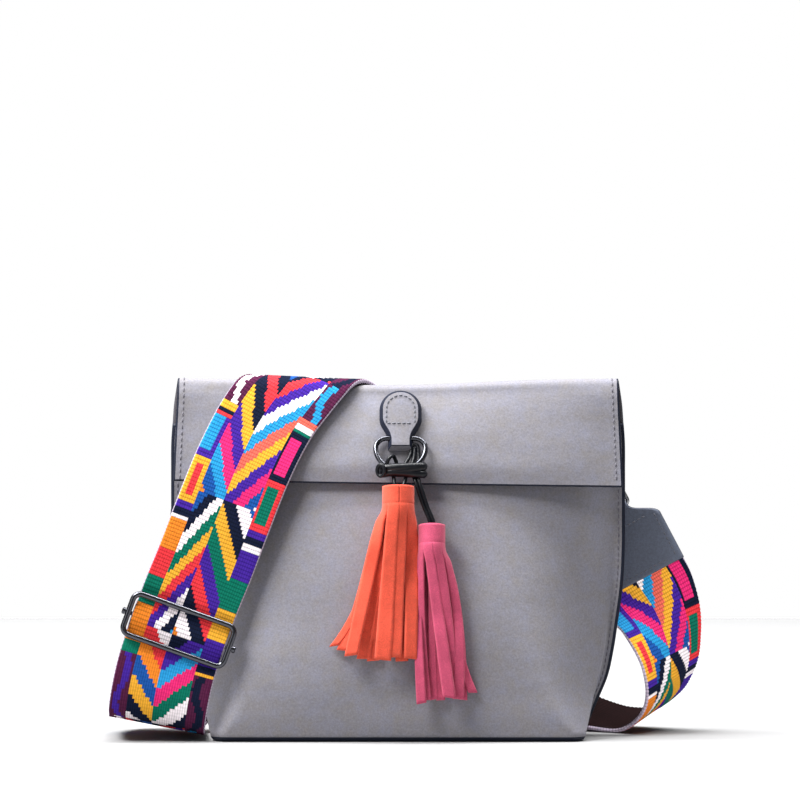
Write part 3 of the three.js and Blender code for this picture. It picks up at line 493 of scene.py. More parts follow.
def nubuck(name, light, dark, roughness, sheen):
    """Grained leather with a buffed face: matt, softly clouded where the nap lies differently, with a fine
    pebble grain and small darker rubs."""
    material, tree, shader = start_material(name, {
        "IOR": 1.48, "Sheen Weight": sheen, "Sheen Roughness": 0.45, "Sheen Tint": (0.9, 0.9, 1, 1)})
    place = own_place(tree)
    clouds = ranged(tree, speckle(tree, place, 9, detail=8, roughness=0.72), 0, 1, 0.32, 0.68)
    rubs = speckle(tree, place, 1, detail=3, roughness=0.75)
    stretched = add_node(tree, "ShaderNodeMapping", None, {
        "Vector": place, "Rotation": (0, 0.5, 0), "Scale": (1, 1, 9)}).outputs["Vector"]
    scuffs = ranged(tree, speckle(tree, stretched, 22, detail=9, roughness=0.8), 1, 1.13, 0.56, 0.72)
    wear = calculated(tree, "MULTIPLY", ranged(tree, rubs, 0.8, 1.17, 0.3, 0.7), scuffs)
    base = colour_between(tree, clouds, opaque(dark), opaque(light))
    grain = add_node(tree, "ShaderNodeTexVoronoi", {"feature": "SMOOTH_F1"}, {
        "Vector": place, "Scale": per_metre(0.75)}).outputs["Distance"]
    pebbles = relief(tree, grain, 0.22, 0.15)
    link_all(tree, shader, {
        "Base Color": toned(tree, base, wear),
        "Roughness": ranged(tree, rubs, roughness - 0.1, roughness + 0.1),
        "Normal": relief(tree, speckle(tree, place, 5, detail=3), 0.3, 0.5, Normal=pebbles),
    })
    return material


def edge_paint(name, colour):
    """Edge paint brushed on cut leather: dark, smooth and slightly glossy, a little uneven."""
    material, tree, shader = start_material(name, {
        "IOR": 1.5, "Specular IOR Level": 0.15, "Base Color": opaque(colour)})
    uneven = speckle(tree, own_place(tree), 1.5, detail=2)
    link_all(tree, shader, {
        "Roughness": ranged(tree, uneven, 0.35, 0.6), "Normal": relief(tree, uneven, 0.3, 0.2)})
    return material


def plated_wire(name, colour, roughness):
    """Plated steel wire: a hard bright metal, with faint wear that breaks the reflections."""
    material, tree, shader = start_material(name, {"Metallic": 1, "Base Color": opaque(colour)})
    wear = speckle(tree, own_place(tree), 4, detail=5, roughness=0.7)
    link_all(tree, shader, {"Roughness": ranged(tree, wear, roughness, roughness + 0.14, 0.3, 0.75)})
    return material


def waxed_cord(name, colour):
    """Waxed round leather cord: nearly black and glossy, with a fine uneven skin."""
    material, tree, shader = start_material(name, {
        "IOR": 1.5, "Specular IOR Level": 0.3, "Base Color": opaque(colour)})
    skin = speckle(tree, own_place(tree), 1.2, detail=4)
    link_all(tree, shader, {
        "Roughness": ranged(tree, skin, 0.22, 0.5), "Normal": relief(tree, skin, 0.35, 0.25)})
    return material


def suede(name, colour):
    """Split suede: a matt velvety nap that is paler where it is brushed up, with a felt-like tooth."""
    material, tree, shader = start_material(name, {
        "IOR": 1.4, "Roughness": 0.95, "Specular IOR Level": 0.2,
        "Sheen Weight": 0.25, "Sheen Roughness": 0.5, "Sheen Tint": (1, 0.7, 0.65, 1)})
    place = own_place(tree)
    tooth = speckle(tree, place, 0.6, detail=3)
    mottle = calculated(tree, "MULTIPLY", speckle(tree, place, 7, detail=5, roughness=0.65), tooth)
    link_all(tree, shader, {
        "Base Color": toned(tree, colour, ranged(tree, mottle, 0.78, 1.12, 0.12, 0.4)),
        "Normal": relief(tree, tooth, 0.5, 0.3),
    })
    return material


def jacquard(rib):
    """Ribbed jacquard webbing: polyester yarns with a slight lustre, and painted shade that darkens the base
    colour in the grooves between the ribs. The yarn colours are stored on the faces, with the strength of the
    ribs, which sets how dark that painted shade gets, as their fourth number, and the grooves follow the
    weave map, in which v is the length along the strap."""
    material, tree, shader = start_material("jacquard webbing", {
        "Roughness": 0.9, "Specular IOR Level": 0.06})
    yarn = add_node(tree, "ShaderNodeAttribute", {"attribute_name": "yarn"})
    weave_map = add_node(tree, "ShaderNodeUVMap", {"uv_map": "weave"}).outputs["UV"]
    along = add_node(tree, "ShaderNodeSeparateXYZ", None, {"Vector": weave_map}).outputs["Y"]
    wave = calculated(tree, "SINE", calculated(tree, "MULTIPLY", along, math.pi / rib))
    # Painted groove shade: in the grooves the base colour drops to this share, 0.55 on full ribs
    depth = ranged(tree, yarn.outputs["Alpha"], 1, 0.55)
    painted_groove_shade = ranged(tree, calculated(tree, "ABSOLUTE", wave), depth, 1, 0.05, 0.75)
    warp = add_node(tree, "ShaderNodeTexWave", {"bands_direction": "X"}, {
        "Vector": weave_map, "Scale": per_metre(1.3) / 3, "Distortion": 1.2, "Detail": 2}).outputs["Fac"]
    # Painted groove shade times the warp texture of the weave; it darkens the base colour and drives the bump
    shade = calculated(tree, "MULTIPLY", painted_groove_shade, ranged(tree, warp, 0.82, 1.12))
    link_all(tree, shader, {
        "Base Color": toned(tree, yarn.outputs["Vector"], shade), "Normal": relief(tree, shade, 0.5, 0.3)})
    return material


def sewing_thread(name, colour):
    """Twisted polyester sewing thread: satin, with a fine twist."""
    material, tree, shader = start_material(name, {"IOR": 1.5, "Roughness": 0.6, "Sheen Weight": 0.2})
    twist = ranged(tree, speckle(tree, own_place(tree), 0.5, detail=2), 0.75, 1.15)
    link_all(tree, shader, {"Base Color": toned(tree, colour, twist)})
    return material


def paper_floor():
    """White background paper: matt, almost without texture."""
    material, tree, shader = start_material("white paper", {"Roughness": 0.9, "Specular IOR Level": 0.1})
    fibre = speckle(tree, own_place(tree), 8, detail=3)
    link_all(tree, shader, {"Base Color": colour_between(tree, fibre, *PAPER_TONES)})
    return material


def shared(make, name, *values):
    """The material of this name, made once."""
    return bpy.data.materials.get(name) or make(name, *values)


def finishes(sizes, name, light, dark, roughness, sheen):
    """Face, flesh side and painted edge of a leather."""
    return [
        shared(nubuck, name, light, dark, roughness, sheen),
        shared(nubuck, "flesh side", sizes.flesh, sizes.flesh, FLESH["roughness"], FLESH["sheen"]),
        shared(edge_paint, "edge paint", sizes.edge),
    ]


def grey_leather(sizes):
    """Finishes of the panels and the tab."""
    return finishes(sizes, "grey nubuck", sizes.light, sizes.dark, roughness=0.74, sheen=0.15)


def slate_leather(sizes):
    """Finishes of the strap ends and the loops."""
    return finishes(sizes, "slate leather", sizes.slate, sizes.slate, roughness=0.55, sheen=0.1)


def table(rows, columns):
    """A table of rows as one array for each named column."""
    return {name: np.array([row[k] for row in rows], dtype=float) for k, name in enumerate(columns)}


def smooth(stations, values, at):
    """Values on a smooth curve through (station, value) pairs."""
    slopes = np.gradient(values, stations)
    k = np.clip(np.searchsorted(stations, at) - 1, 0, len(stations) - 2)
    span = stations[k + 1] - stations[k]
    t = (at - stations[k]) / span
    start = (1 + 2 * t) * (1 - t) ** 2 * values[k] + t * (1 - t) ** 2 * span * slopes[k]
    end = t ** 2 * (3 - 2 * t) * values[k + 1] + t ** 2 * (t - 1) * span * slopes[k + 1]
    return start + end


def running_length(points):
    """Distance along a line of points, from its first one."""
    steps = np.linalg.norm(np.diff(points, axis=0), axis=1)
    return np.concatenate(([0], np.cumsum(steps)))


def at_length(points, length, at):
    """Point of a line at a distance along it."""
    return np.array([np.interp(at, length, points[:, k]) for k in range(points.shape[1])])


def unit(vectors):
    """Vectors at length one."""
    return vectors / np.maximum(np.linalg.norm(vectors, axis=-1, keepdims=True), 1e-9)


def centripetal(points, t):
    """Point of a centripetal Catmull-Rom curve through the points, at t from 0 to their number less one."""
    k = min(int(t), len(points) - 2)
    near, far = points[k], points[k + 1]
    before = points[k - 1] if k > 0 else 2 * near - far
    after = points[k + 2] if k + 2 < len(points) else 2 * far - near
    gap = [max(np.linalg.norm(b - a), 1e-6) ** 0.5 for a, b in ((before, near), (near, far), (far, after))]
    leave = (near - before) / gap[0] - (far - before) / (gap[0] + gap[1]) + (far - near) / gap[1]
    arrive = (far - near) / gap[1] - (after - near) / (gap[1] + gap[2]) + (after - far) / gap[2]
    leave = leave * gap[1]
    arrive = arrive * gap[1]
    w = t - k
    return (near + leave * w + (3 * (far - near) - 2 * leave - arrive) * w ** 2
            + (2 * (near - far) + leave + arrive) * w ** 3)


def fine_line(points, step):
    """Points along a smooth curve, about one step apart."""
    points = np.array(points, dtype=float)
    count = max(8, round(running_length(points)[-1] / step))
    return np.array([centripetal(points, t) for t in np.linspace(0, len(points) - 1, count + 1)])


def grid_normals(grid):
    """Unit normals of a grid of points."""
    return unit(np.cross(np.gradient(grid, axis=1), np.gradient(grid, axis=0)))


def rim_ring(rows, columns):
    """Row and column numbers round the edge of a grid."""
    ring = [(0, j) for j in range(columns)]
    ring += [(i, columns - 1) for i in range(1, rows)]
    ring += [(rows - 1, j) for j in range(columns - 2, -1, -1)]
    ring += [(i, 0) for i in range(rows - 2, 0, -1)]
    return ring


def wall_arrays(grid, lift, sink, rim):
    """A closed wall on a grid: vertices, faces, and for each face 0 on the lifted side, 1 on the other, 2 on
    the edge. The cut edge is rounded outwards by rim."""
    rows, columns = grid.shape[:2]
    normals = grid_normals(grid)
    upper = grid + lift * normals
    lower = grid - sink * normals
    ring = rim_ring(rows, columns)
    middle = []
    for i, j in ring:
        inside = grid[min(max(i, 1), rows - 2) if rows > 2 else i, min(max(j, 1), columns - 2)]
        middle.append((upper[i, j] + lower[i, j]) / 2 + rim * unit(grid[i, j] - inside))
    vertices = np.concatenate((upper.reshape(-1, 3), lower.reshape(-1, 3), np.array(middle)))
    corner = (np.arange(rows - 1)[:, None] * columns + np.arange(columns - 1)).reshape(-1)
    quads = np.stack((corner, corner + 1, corner + columns + 1, corner + columns), axis=1)
    size = rows * columns
    edge = []
    for k, (i, j) in enumerate(ring):
        n = (k + 1) % len(ring)
        here = i * columns + j
        there = ring[n][0] * columns + ring[n][1]
        edge.append((there, here, 2 * size + k, 2 * size + n))
        edge.append((2 * size + n, 2 * size + k, size + here, size + there))
    faces = np.concatenate((quads, quads[:, ::-1] + size, np.array(edge)))
    sides = np.repeat((0, 1, 2), (len(quads), len(quads), len(edge)))
    spread = vertices[faces]
    volume = np.einsum("ij,ij->", spread[:, 0], np.cross(spread[:, 1], spread[:, 2]))
    volume += np.einsum("ij,ij->", spread[:, 0], np.cross(spread[:, 2], spread[:, 3]))
    return vertices, faces if volume > 0 else faces[:, ::-1], sides


def joined(parts):
    """Several walls as one set of vertices, faces and side numbers."""
    vertices, faces, sides = [], [], []
    count = 0
    for part_vertices, part_faces, part_sides in parts:
        vertices.append(part_vertices)
        faces.append(part_faces + count)
        sides.append(part_sides)
        count += len(part_vertices)
    return np.concatenate(vertices), np.concatenate(faces), np.concatenate(sides)


def settle(piece, nodes=()):
    """Ties a finished piece to the frame: the body it rides on, and hides the solids it stands for."""
    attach(piece, BODY)
    if nodes:
        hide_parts(*nodes)
    return piece


def mesh_piece(name, arrays, materials, nodes=()):
    """A smooth piece, tied to the frame, from vertices in millimetres, faces and their material numbers."""
    vertices, faces, sides = arrays
    mesh = bpy.data.meshes.new(name)
    mesh.from_pydata((vertices * MM).tolist(), [], faces.tolist())
    for material in materials:
        mesh.materials.append(material)
    mesh.polygons.foreach_set("material_index", np.asarray(sides, dtype=np.int32))
    mesh.polygons.foreach_set("use_smooth", np.ones(len(faces), dtype=bool))
    mesh.update()
    piece = bpy.data.objects.new(name, mesh)
    bpy.context.scene.collection.objects.link(piece)
    return settle(piece, nodes)


def soft_wave(kind, x, y, z):
    """Slow random waves of soft leather."""
    size, height = WAVES[kind]
    return height * noise.noise(Vector((x, y, z)) / size)


def ease(share):
    """A share from 0 to 1 that starts and ends gently."""
    share = np.clip(share, 0, 1)
    return share * share * (3 - 2 * share)


def outline(reach, bulge, square, count):
    """Half of a rounded outline, from -reach to reach: x and depth, evenly spaced along its length."""
    turn = np.linspace(np.pi, 0, 6 * count)
    across, out = np.cos(turn), np.sin(turn)
    radius = (np.abs(across) ** square + np.abs(out) ** square) ** (-1 / square)
    points = np.stack((reach * radius * across, bulge * radius * out), axis=1)
    length = running_length(points)
    even = np.linspace(0, length[-1], count)
    return np.interp(even, length, points[:, 0]), np.interp(even, length, points[:, 1])


def creased(x, depth, z, bulge):
    """Depth of the front with flat facets between the creases and the side seams."""
    ridge = CREASE["head"] + (CREASE["foot"] - CREASE["head"]) * math.exp((BASE_ROLL - z) / CREASE["bend"])
    soft = np.interp(z, (BASE_ROLL, CREASE["soft_top"]), CREASE["soft"])
    slope = np.interp(z, (BASE_ROLL, CREASE["slope_top"]), CREASE["slope"])
    facet = bulge - slope * (np.abs(x) - ridge)
    return np.clip(-soft * np.logaddexp(-depth / soft, -facet / soft), 0, None)


def with_seams(x, y, seam, seam_y, lap):
    """A row of x and y with a flat seam added at both ends, whose last step is as wide as the edge paint."""
    inner = seam - min(lap, seam / 2)
    steps = np.array((seam, inner, inner / 2))
    points = np.stack((np.concatenate((x[0] - steps, x, x[-1] + steps[::-1])),
                       np.concatenate((np.full(3, seam_y), y, np.full(3, seam_y)))))
    for _ in range(SEAM_SOFTENING["passes"]):
        mean = (points[:, :-2] + 2 * points[:, 1:-1] + points[:, 2:]) / 4
        points[:, 2:SEAM_SOFTENING["reach"]] = mean[:, 1:SEAM_SOFTENING["reach"] - 1]
        points[:, -SEAM_SOFTENING["reach"]:-2] = mean[:, 1 - SEAM_SOFTENING["reach"]:-1]
    return points


def pouch_grid(side, wall, top):
    """Outer face of the front (side -1) or the back (+1) of the pouch, from under the base up to a height."""
    section = table(SECTIONS, SECTION_COLUMNS)
    turns = np.linspace(0, np.pi / 2, ROLL_STEPS, endpoint=False)
    stations = [(BASE_ROLL * (1 - math.sin(turn)), BASE_ROLL * (1 - math.cos(turn))) for turn in turns]
    count = round((top - BASE_ROLL) / PANEL_STEP)
    stations += [(0, z) for z in np.linspace(BASE_ROLL, top, count + 1)]
    rows = []
    for inset, z in stations:
        level = max(z, BASE_ROLL)
        at = {key: float(smooth(section["z"], section[key], level)) for key in SECTION_COLUMNS[1:]}
        bulge = at["front" if side < 0 else "back"] - inset
        x, depth = outline(at["half"] - at["seam"] - inset, bulge, at["square"], PANEL_COLUMNS)
        if side < 0:
            depth = creased(x, depth, level, bulge)
        waves = np.array([soft_wave("pouch", a, side * WAVE_APART, z) for a in x])
        waves = waves * np.clip(depth / WAVE_FADE["depth"], 0, 1)
        depth = depth + waves * np.clip((z - BASE_ROLL) / WAVE_FADE["foot"], 0, 1)
        x, y = with_seams(x, side * (GAP + wall + depth), at["seam"], side * (GAP + wall), PAINT_LAP["seam"])
        rows.append(np.stack((x, y, np.full_like(x, z)), axis=1))
    return np.array(rows)


def fold_sag(x, z):
    """How far the strap and its own weight pull the fold down."""
    share = np.clip((z - FOLD_SAG["from"]) / (FOLD_SAG["top"] - FOLD_SAG["from"]), 0, 1)
    return FOLD_SAG["depth"] * share * np.exp(-((x - FOLD_SAG["x"]) / FOLD_SAG["spread"]) ** 2)


def flap_grid(wall):
    """Outer face of the back panel above the pouch's back, over the top and down the front as the flap."""
    seam_y = GAP + wall
    joins = [(row[0], row[1], seam_y + row[4], seam_y) for row in SECTIONS[-2:]]
    flap = table((*joins, *FLAP_ROWS), FLAP_COLUMNS)
    run = running_length(np.stack((flap["z"], flap["middle"]), axis=1))
    rows = []
    hem = run[-1] - PAINT_LAP["hem"]
    for at in (*np.linspace(PANEL_STEP, hem, round(hem / PANEL_STEP)), run[-1]):
        z, half, middle, edge = (float(smooth(run, flap[key], at)) for key in FLAP_COLUMNS)
        x, depth = outline(half - SEAM_WIDTH, abs(middle - edge), 2, PANEL_COLUMNS)
        arch = abs(middle - edge) * (1 - np.abs(x / x[-1]) ** FLAP_ARCH)
        depth = depth + (arch - depth) * ease(at / FLAP_ARCH_RUN)
        depth = depth * math.copysign(1, middle - edge)
        waves = np.array([soft_wave("flap", a, at, 0) for a in x])
        waves = waves * np.clip(np.abs(depth) / WAVE_FADE["flap"], 0, 1)
        x, y = with_seams(x, edge + depth + waves, SEAM_WIDTH, edge, PAINT_LAP["flap"])
        tilt = HEM_TILT * x * np.clip((at - FLAP_ARCH_RUN) / (run[-1] - FLAP_ARCH_RUN), 0, 1)
        rows.append(np.stack((x, y, z - fold_sag(x, z) - tilt), axis=1))
    return np.array(rows)


def base_grid(wall):
    """Underside of the base, inside the rolled edges of the panels."""
    edge = BASE_ROLL + wall / 2 + GAP
    _, half, seam, front, back, square = SECTIONS[0]
    reach = half - seam - edge
    rows = []
    for y in np.linspace(GAP + wall + back - edge, -(GAP + wall + front - edge), BASE_ROWS):
        depth = (back if y > 0 else front) - edge + GAP + wall
        width = reach * (1 - min(abs(y) / depth, BASE_END) ** square) ** (1 / square)
        x = np.linspace(-width, width, BASE_COLUMNS)
        rows.append(np.stack((x, np.full_like(x, y), np.zeros_like(x)), axis=1))
    return np.array(rows)


def inset_line(grid, inset, side):
    """The line that runs this far inside a grid's first (side 0) or last (side -1) column, with normals."""
    normals = grid_normals(grid)
    points, out = [], []
    for row, row_normals in zip(grid, normals):
        if side:
            row, row_normals = row[::-1], row_normals[::-1]
        length = running_length(row)
        points.append(at_length(row, length, inset))
        out.append(at_length(row_normals, length, inset))
    return np.array(points), unit(np.array(out))


def stitches(points, normals, size, pitch, thick):
    """Sunk stitches along a line on a surface, as vertices, faces and side numbers."""
    length = running_length(points)
    parts = []
    for at in np.arange(pitch / 2, length[-1] - pitch / 2, pitch):
        place = at_length(points, length, at)
        up = unit(at_length(normals, length, at))
        along = unit(at_length(points, length, at + size / 2) - place)
        across = unit(np.cross(along, up))
        rings = []
        for end, girth in STITCH_RINGS:
            turn = np.linspace(0, 2 * np.pi, STITCH_SIDES, endpoint=False)[:, None]
            ring = across * np.cos(turn) * girth * thick / 2 + up * np.sin(turn) * girth * thick / 2
            rings.append(place + up * thick * STITCH_LIFT * girth + along * end * size + ring)
        vertices = np.concatenate(rings)
        faces = []
        for r in range(len(STITCH_RINGS) - 1):
            for s in range(STITCH_SIDES):
                n = (s + 1) % STITCH_SIDES
                low = r * STITCH_SIDES
                faces.append((low + s, low + n, low + STITCH_SIDES + n, low + STITCH_SIDES + s))
        last = (len(STITCH_RINGS) - 1) * STITCH_SIDES
        faces += [(0, 5, 4, 1), (1, 4, 3, 2)]
        faces += [(last, last + 1, last + 4, last + 5), (last + 1, last + 2, last + 3, last + 4)]
        parts.append((vertices, np.array(faces)[:, ::-1], np.zeros(len(faces), dtype=int)))
    return joined(parts)


def leg_rows(stations, first, last, offsets):
    """Rows of points across the strap, along a stretch given by centres and directions across it."""
    centres = np.array([centre for centre, _ in stations], dtype=float)
    acrosses = unit(np.array([across for _, across in stations], dtype=float))
    rows = []
    for k in range(first, last):
        count = max(1, round(np.linalg.norm(centres[k + 1] - centres[k]) / PANEL_STEP))
        for s in range(count):
            t = k + s / count
            tangent = unit(centripetal(centres, t + NUDGE) - centripetal(centres, t - NUDGE))
            across = centripetal(acrosses, t)
            across = unit(across - tangent * (across @ tangent))
            rows.append(centripetal(centres, t) + across * offsets[:, None])
    return rows


def top_rows(offsets):
    """Rows of points across the strap where it leans on the bag, over its top."""
    lean = fine_line([(0, y, z) for y, z in LEAN], LEAN_STEP)
    run = running_length(lean)
    run = run - run[np.argmax(lean[:, 2])]
    flat = fine_line([(x, at) for at, x in TOP_LEG], PANEL_STEP)
    tangents = unit(np.gradient(flat, axis=0))
    rows = []
    for (x, at), (side, ahead) in zip(flat, tangents):
        spots = at - offsets * side
        across = x + offsets * ahead
        z = np.interp(spots, run, lean[:, 2])
        rows.append(np.stack((across, np.interp(spots, run, lean[:, 1]), z - fold_sag(across, z)), axis=1))
    return rows


def row_station(row):
    """Centre and direction across of a row of points."""
    middle = len(row) // 2
    return row[middle], unit(row[middle + 1] - row[middle - 1])


def strap_grid(pitch):
    """Middle surface of the whole strap as rows one pitch apart, and the row at the slider."""
    offsets = np.linspace(-STRAP_HALF, STRAP_HALF, STRAP_COLUMNS + 1)
    top = top_rows(offsets)
    lead = round(STRAP_LEAD / PANEL_STEP)
    right = [*RIGHT_LEG, row_station(top[0]), row_station(top[lead])]
    left = [row_station(top[-1 - lead]), row_station(top[-1]), *LEFT_LEG]
    rows = leg_rows(right, 0, len(RIGHT_LEG), offsets) + top[:-1]
    rows += leg_rows(left, 1, len(left) - 1, offsets)
    centre, across = LEFT_LEG[-1]
    rows.append(np.array(centre) + unit(np.array(across, dtype=float)) * offsets[:, None])
    rows = np.array(rows)
    length = running_length(rows[:, STRAP_COLUMNS // 2])
    even = np.arange(0, length[-1], pitch)
    flat = rows.reshape(len(rows), -1)
    grid = at_length(flat, length, even).T.reshape(len(even), STRAP_COLUMNS + 1, 3)
    centres = grid[:, STRAP_COLUMNS // 2]
    in_front = np.where(centres[:, 1] < -GAP, np.abs(centres[:, 2] - SLIDER["height"]), np.inf)
    return grid, int(np.argmin(in_front))


def slider_place(grid, row):
    """Centre, across, along and outward directions of the strap at a row."""
    middle = STRAP_COLUMNS // 2
    centre, across = row_station(grid[row])
    along = unit(grid[row + 1, middle] - grid[row - 1, middle])
    return centre, across, along, unit(np.cross(along, across))


def woven_under_rails(grid, row):
    """The strap's surface where it dips under the slider's rails and rises over its bar."""
    centre, _, along, out = slider_place(grid, row)
    middles = grid[:, STRAP_COLUMNS // 2]
    distance = (middles - centre) @ along
    near = np.linalg.norm(middles - centre, axis=1) < WEAVE_REACH[0] * SLIDER["rail"]
    near &= np.abs(distance) < WEAVE_REACH[1] * SLIDER["rail"]
    offset = np.where(near, WEAVE * np.cos(np.pi * distance / SLIDER["rail"]), 0)
    return grid + offset[:, None, None] * out


def block_at(blocks, rib):
    """The block of a border or field that a rib falls in, and the rib's number inside it."""
    rib %= sum(block[1] for block in blocks)
    for block in blocks:
        if rib < block[1]:
            return block, rib
        rib -= block[1]
    raise ValueError("the blocks have no length")


def field_yarn(rib, across):
    """Yarn of the chevrons at a rib and a distance across the strap."""
    (lean, _, ribs, slopes, left, right), rib = block_at(LEAVES, rib)
    aside = across - SPINE
    slope = slopes[int(aside > 0)]
    stripe = math.floor((rib + lean * slope * abs(aside)) / ribs) - FIRST_STRIPE[lean]
    yarns = (right if aside > 0 else left).split()
    return yarns[min(max(stripe, 0), len(yarns) - 1)]


def border_yarn(blocks, rib, inside, width):
    """Yarn of a border at a rib and a distance from its outer edge."""
    (kind, ribs, yarn, ground), rib = block_at(blocks, rib)
    if kind == "bars":
        yarns = yarn.split()
        return yarns[rib * len(yarns) // ribs]
    if kind == "framed":
        framed = FRAME <= rib < ribs - FRAME and FRAME < inside < width - FRAME
        return yarn if framed else ground
    if kind == "lined":
        return yarn if rib < ribs - FRAME and inside < width - FRAME else ground
    if kind == "wave":
        swing = BORDER_WAVE["swing"] * math.sin(2 * math.pi * rib / BORDER_WAVE["ribs"])
        aside = abs(inside - width * (BORDER_WAVE["middle"] + swing))
        return yarn if aside < BORDER_WAVE["half"] * width else ground
    return yarn


def strap_yarn(rib, across):
    """Yarn at a rib, counted from the top of the bag, and a distance across the strap."""
    if across < LEFT_BORDER_WIDTH:
        return border_yarn(LEFT_BORDER, rib, across, LEFT_BORDER_WIDTH)
    if across > 2 * STRAP_HALF - RIGHT_BORDER_WIDTH:
        return border_yarn(RIGHT_BORDER, rib, 2 * STRAP_HALF - across, RIGHT_BORDER_WIDTH)
    return field_yarn(rib, across)


def face_yarns(rows, top_row, sizes, count):
    """Linear colour of every face of the strap: patterned side, reverse, then edge."""
    chance = random.Random(YARN_SEED)
    step = 2 * STRAP_HALF / STRAP_COLUMNS
    dyes = {name: linear(code) for name, code in YARNS.items()}
    colours = []
    for row in range(rows - 1):
        rib = (row - top_row) // 2
        for column in range(STRAP_COLUMNS):
            dye = dyes[strap_yarn(rib, 2 * STRAP_HALF - (column + 0.5) * step)]
            tone = chance.uniform(*YARN_TONES["face"])
            colours.append([tone * share for share in dye])
    for _ in range((rows - 1) * STRAP_COLUMNS):
        tone = chance.uniform(*YARN_TONES["reverse"])
        colours.append([tone * share for share in sizes.lining])
    colours += [list(sizes.selvedge)] * (count - len(colours))
    return np.array(colours)


class BAG_OT_stage(bpy.types.Operator):
    """Camera at the photograph's angle, pale paper floor and soft studio light."""
    bl_idname = "bag.stage"
    bl_label = "Stage"

    def execute(self, context):
        sizes = context.scene.bag_stage
        lens = bpy.data.cameras.new("camera")
        lens.lens = sizes.lens
        camera = bpy.data.objects.new("camera", lens)
        camera.location = (MM, -sizes.distance, sizes.height)
        camera.rotation_euler = (math.pi / 2, 0, 0)
        context.scene.collection.objects.link(camera)
        context.scene.camera = camera
        floor = self.paper()
        for name, spot, target, size in LIGHTS:
            lamp = bpy.data.lights.new(name, "AREA")
            lamp.shape = "RECTANGLE"
            lamp.size, lamp.size_y = size
            lamp.energy = getattr(sizes, name)
            light = bpy.data.objects.new(name, lamp)
            light.location = spot
            aim = Vector(target) - Vector(spot)
            light.rotation_euler = aim.to_track_quat("-Z", "Y").to_euler()
            context.scene.collection.objects.link(light)
            if name in LIT_ALONE:
                light.light_linking.receiver_collection = bpy.data.collections.new(LIT_ALONE[name])
        bpy.data.lights["strap"].spread = sizes.spread
        bpy.data.collections[LIT_ALONE["paper"]].objects.link(floor)
        context.scene.world = self.pale_room(sizes.ambient)
        context.scene.view_settings.view_transform = "Standard"
        return {"FINISHED"}

    def pale_room(self, ambient):
        """White surroundings that give only a little light: the camera alone sees them bright."""
        world = bpy.data.worlds.new("pale room")
        world.use_nodes = True
        tree = world.node_tree
        room = tree.nodes["Background"]
        room.inputs["Color"].default_value = WHITE
        room.inputs["Strength"].default_value = ambient
        backdrop = add_node(tree, "ShaderNodeBackground", None, {"Color": WHITE, "Strength": 1})
        path = add_node(tree, "ShaderNodeLightPath")
        seen = add_node(tree, "ShaderNodeMixShader", None, {
            0: path.outputs["Is Camera Ray"], 1: room.outputs[0], 2: backdrop.outputs[0]})
        tree.links.new(seen.outputs[0], tree.nodes["World Output"].inputs["Surface"])
        return world

    def paper(self):
        """A sheet of paper under the bag, with its far edge not far behind it."""
        floor = start_piece("paper_floor", bpy.ops.mesh.primitive_plane_add, size=PAPER["size"])
        select_where(floor, lambda spot: spot.y > 0)
        bpy.ops.transform.translate(value=(0, -PAPER["cut"], 0))
        bpy.ops.object.mode_set(mode="OBJECT")
        floor.data.materials.append(paper_floor())
        return floor


class BAG_OT_strap(bpy.types.Operator):
    """Woven strap with its ribs and yarns, laid over the bag."""
    bl_idname = "bag.strap"
    bl_label = "Woven strap"

    def execute(self, context):
        sizes = context.scene.bag_strap
        pitch = sizes.rib / MM / 2
        grid, slider = strap_grid(pitch)
        top_row = int(np.argmax(grid[:, STRAP_COLUMNS // 2, 2]))
        grid = woven_under_rails(grid, slider)[:, ::-1]
        rows, columns = grid.shape[:2]
        strength = np.where(np.arange(rows) > slider + SMOOTH_AFTER, SMOOTH_RIBS, 1)
        ribs = np.where((np.arange(rows) - top_row) % 2, 0.5, -0.5) * strength * sizes.relief / MM
        half = sizes.thick / MM / 2 + ribs[:, None, None]
        vertices, faces, _ = wall_arrays(grid, half, half, CUT_EDGE["webbing"])
        arrays = (vertices, faces, np.zeros(len(faces)))
        strap = mesh_piece(
            "strap_webbing_woven", arrays, [jacquard(sizes.rib)], ["strap_webbing"])
        yarns = face_yarns(rows, top_row, sizes, len(faces))
        # Fourth number of each face colour: how strong the ribs are there, which sets how dark the painted
        # groove shade gets
        groove_shade_strength = np.ones((len(yarns), 1))
        side = (rows - 1) * STRAP_COLUMNS
        groove_shade_strength[:2 * side, 0] = np.tile(np.repeat(strength[1:], STRAP_COLUMNS), 2)
        corners = np.repeat(np.concatenate((yarns, groove_shade_strength), axis=1), 4, axis=0)
        layer = strap.data.color_attributes.new("yarn", "FLOAT_COLOR", "CORNER")
        layer.data.foreach_set("color", corners.reshape(-1))
        places = [(i, j) for i in range(rows) for j in range(columns)]
        places = places + places + rim_ring(rows, columns)
        width = 2 * STRAP_HALF / STRAP_COLUMNS
        spots = np.array([(j * width, (i - top_row) * pitch) for i, j in places]) * MM
        weave = strap.data.uv_layers.new(name="weave")
        weave.data.foreach_set("uv", spots[faces.reshape(-1)].reshape(-1))
        bpy.data.collections[LIT_ALONE["strap"]].objects.link(strap)
        return {"FINISHED"}


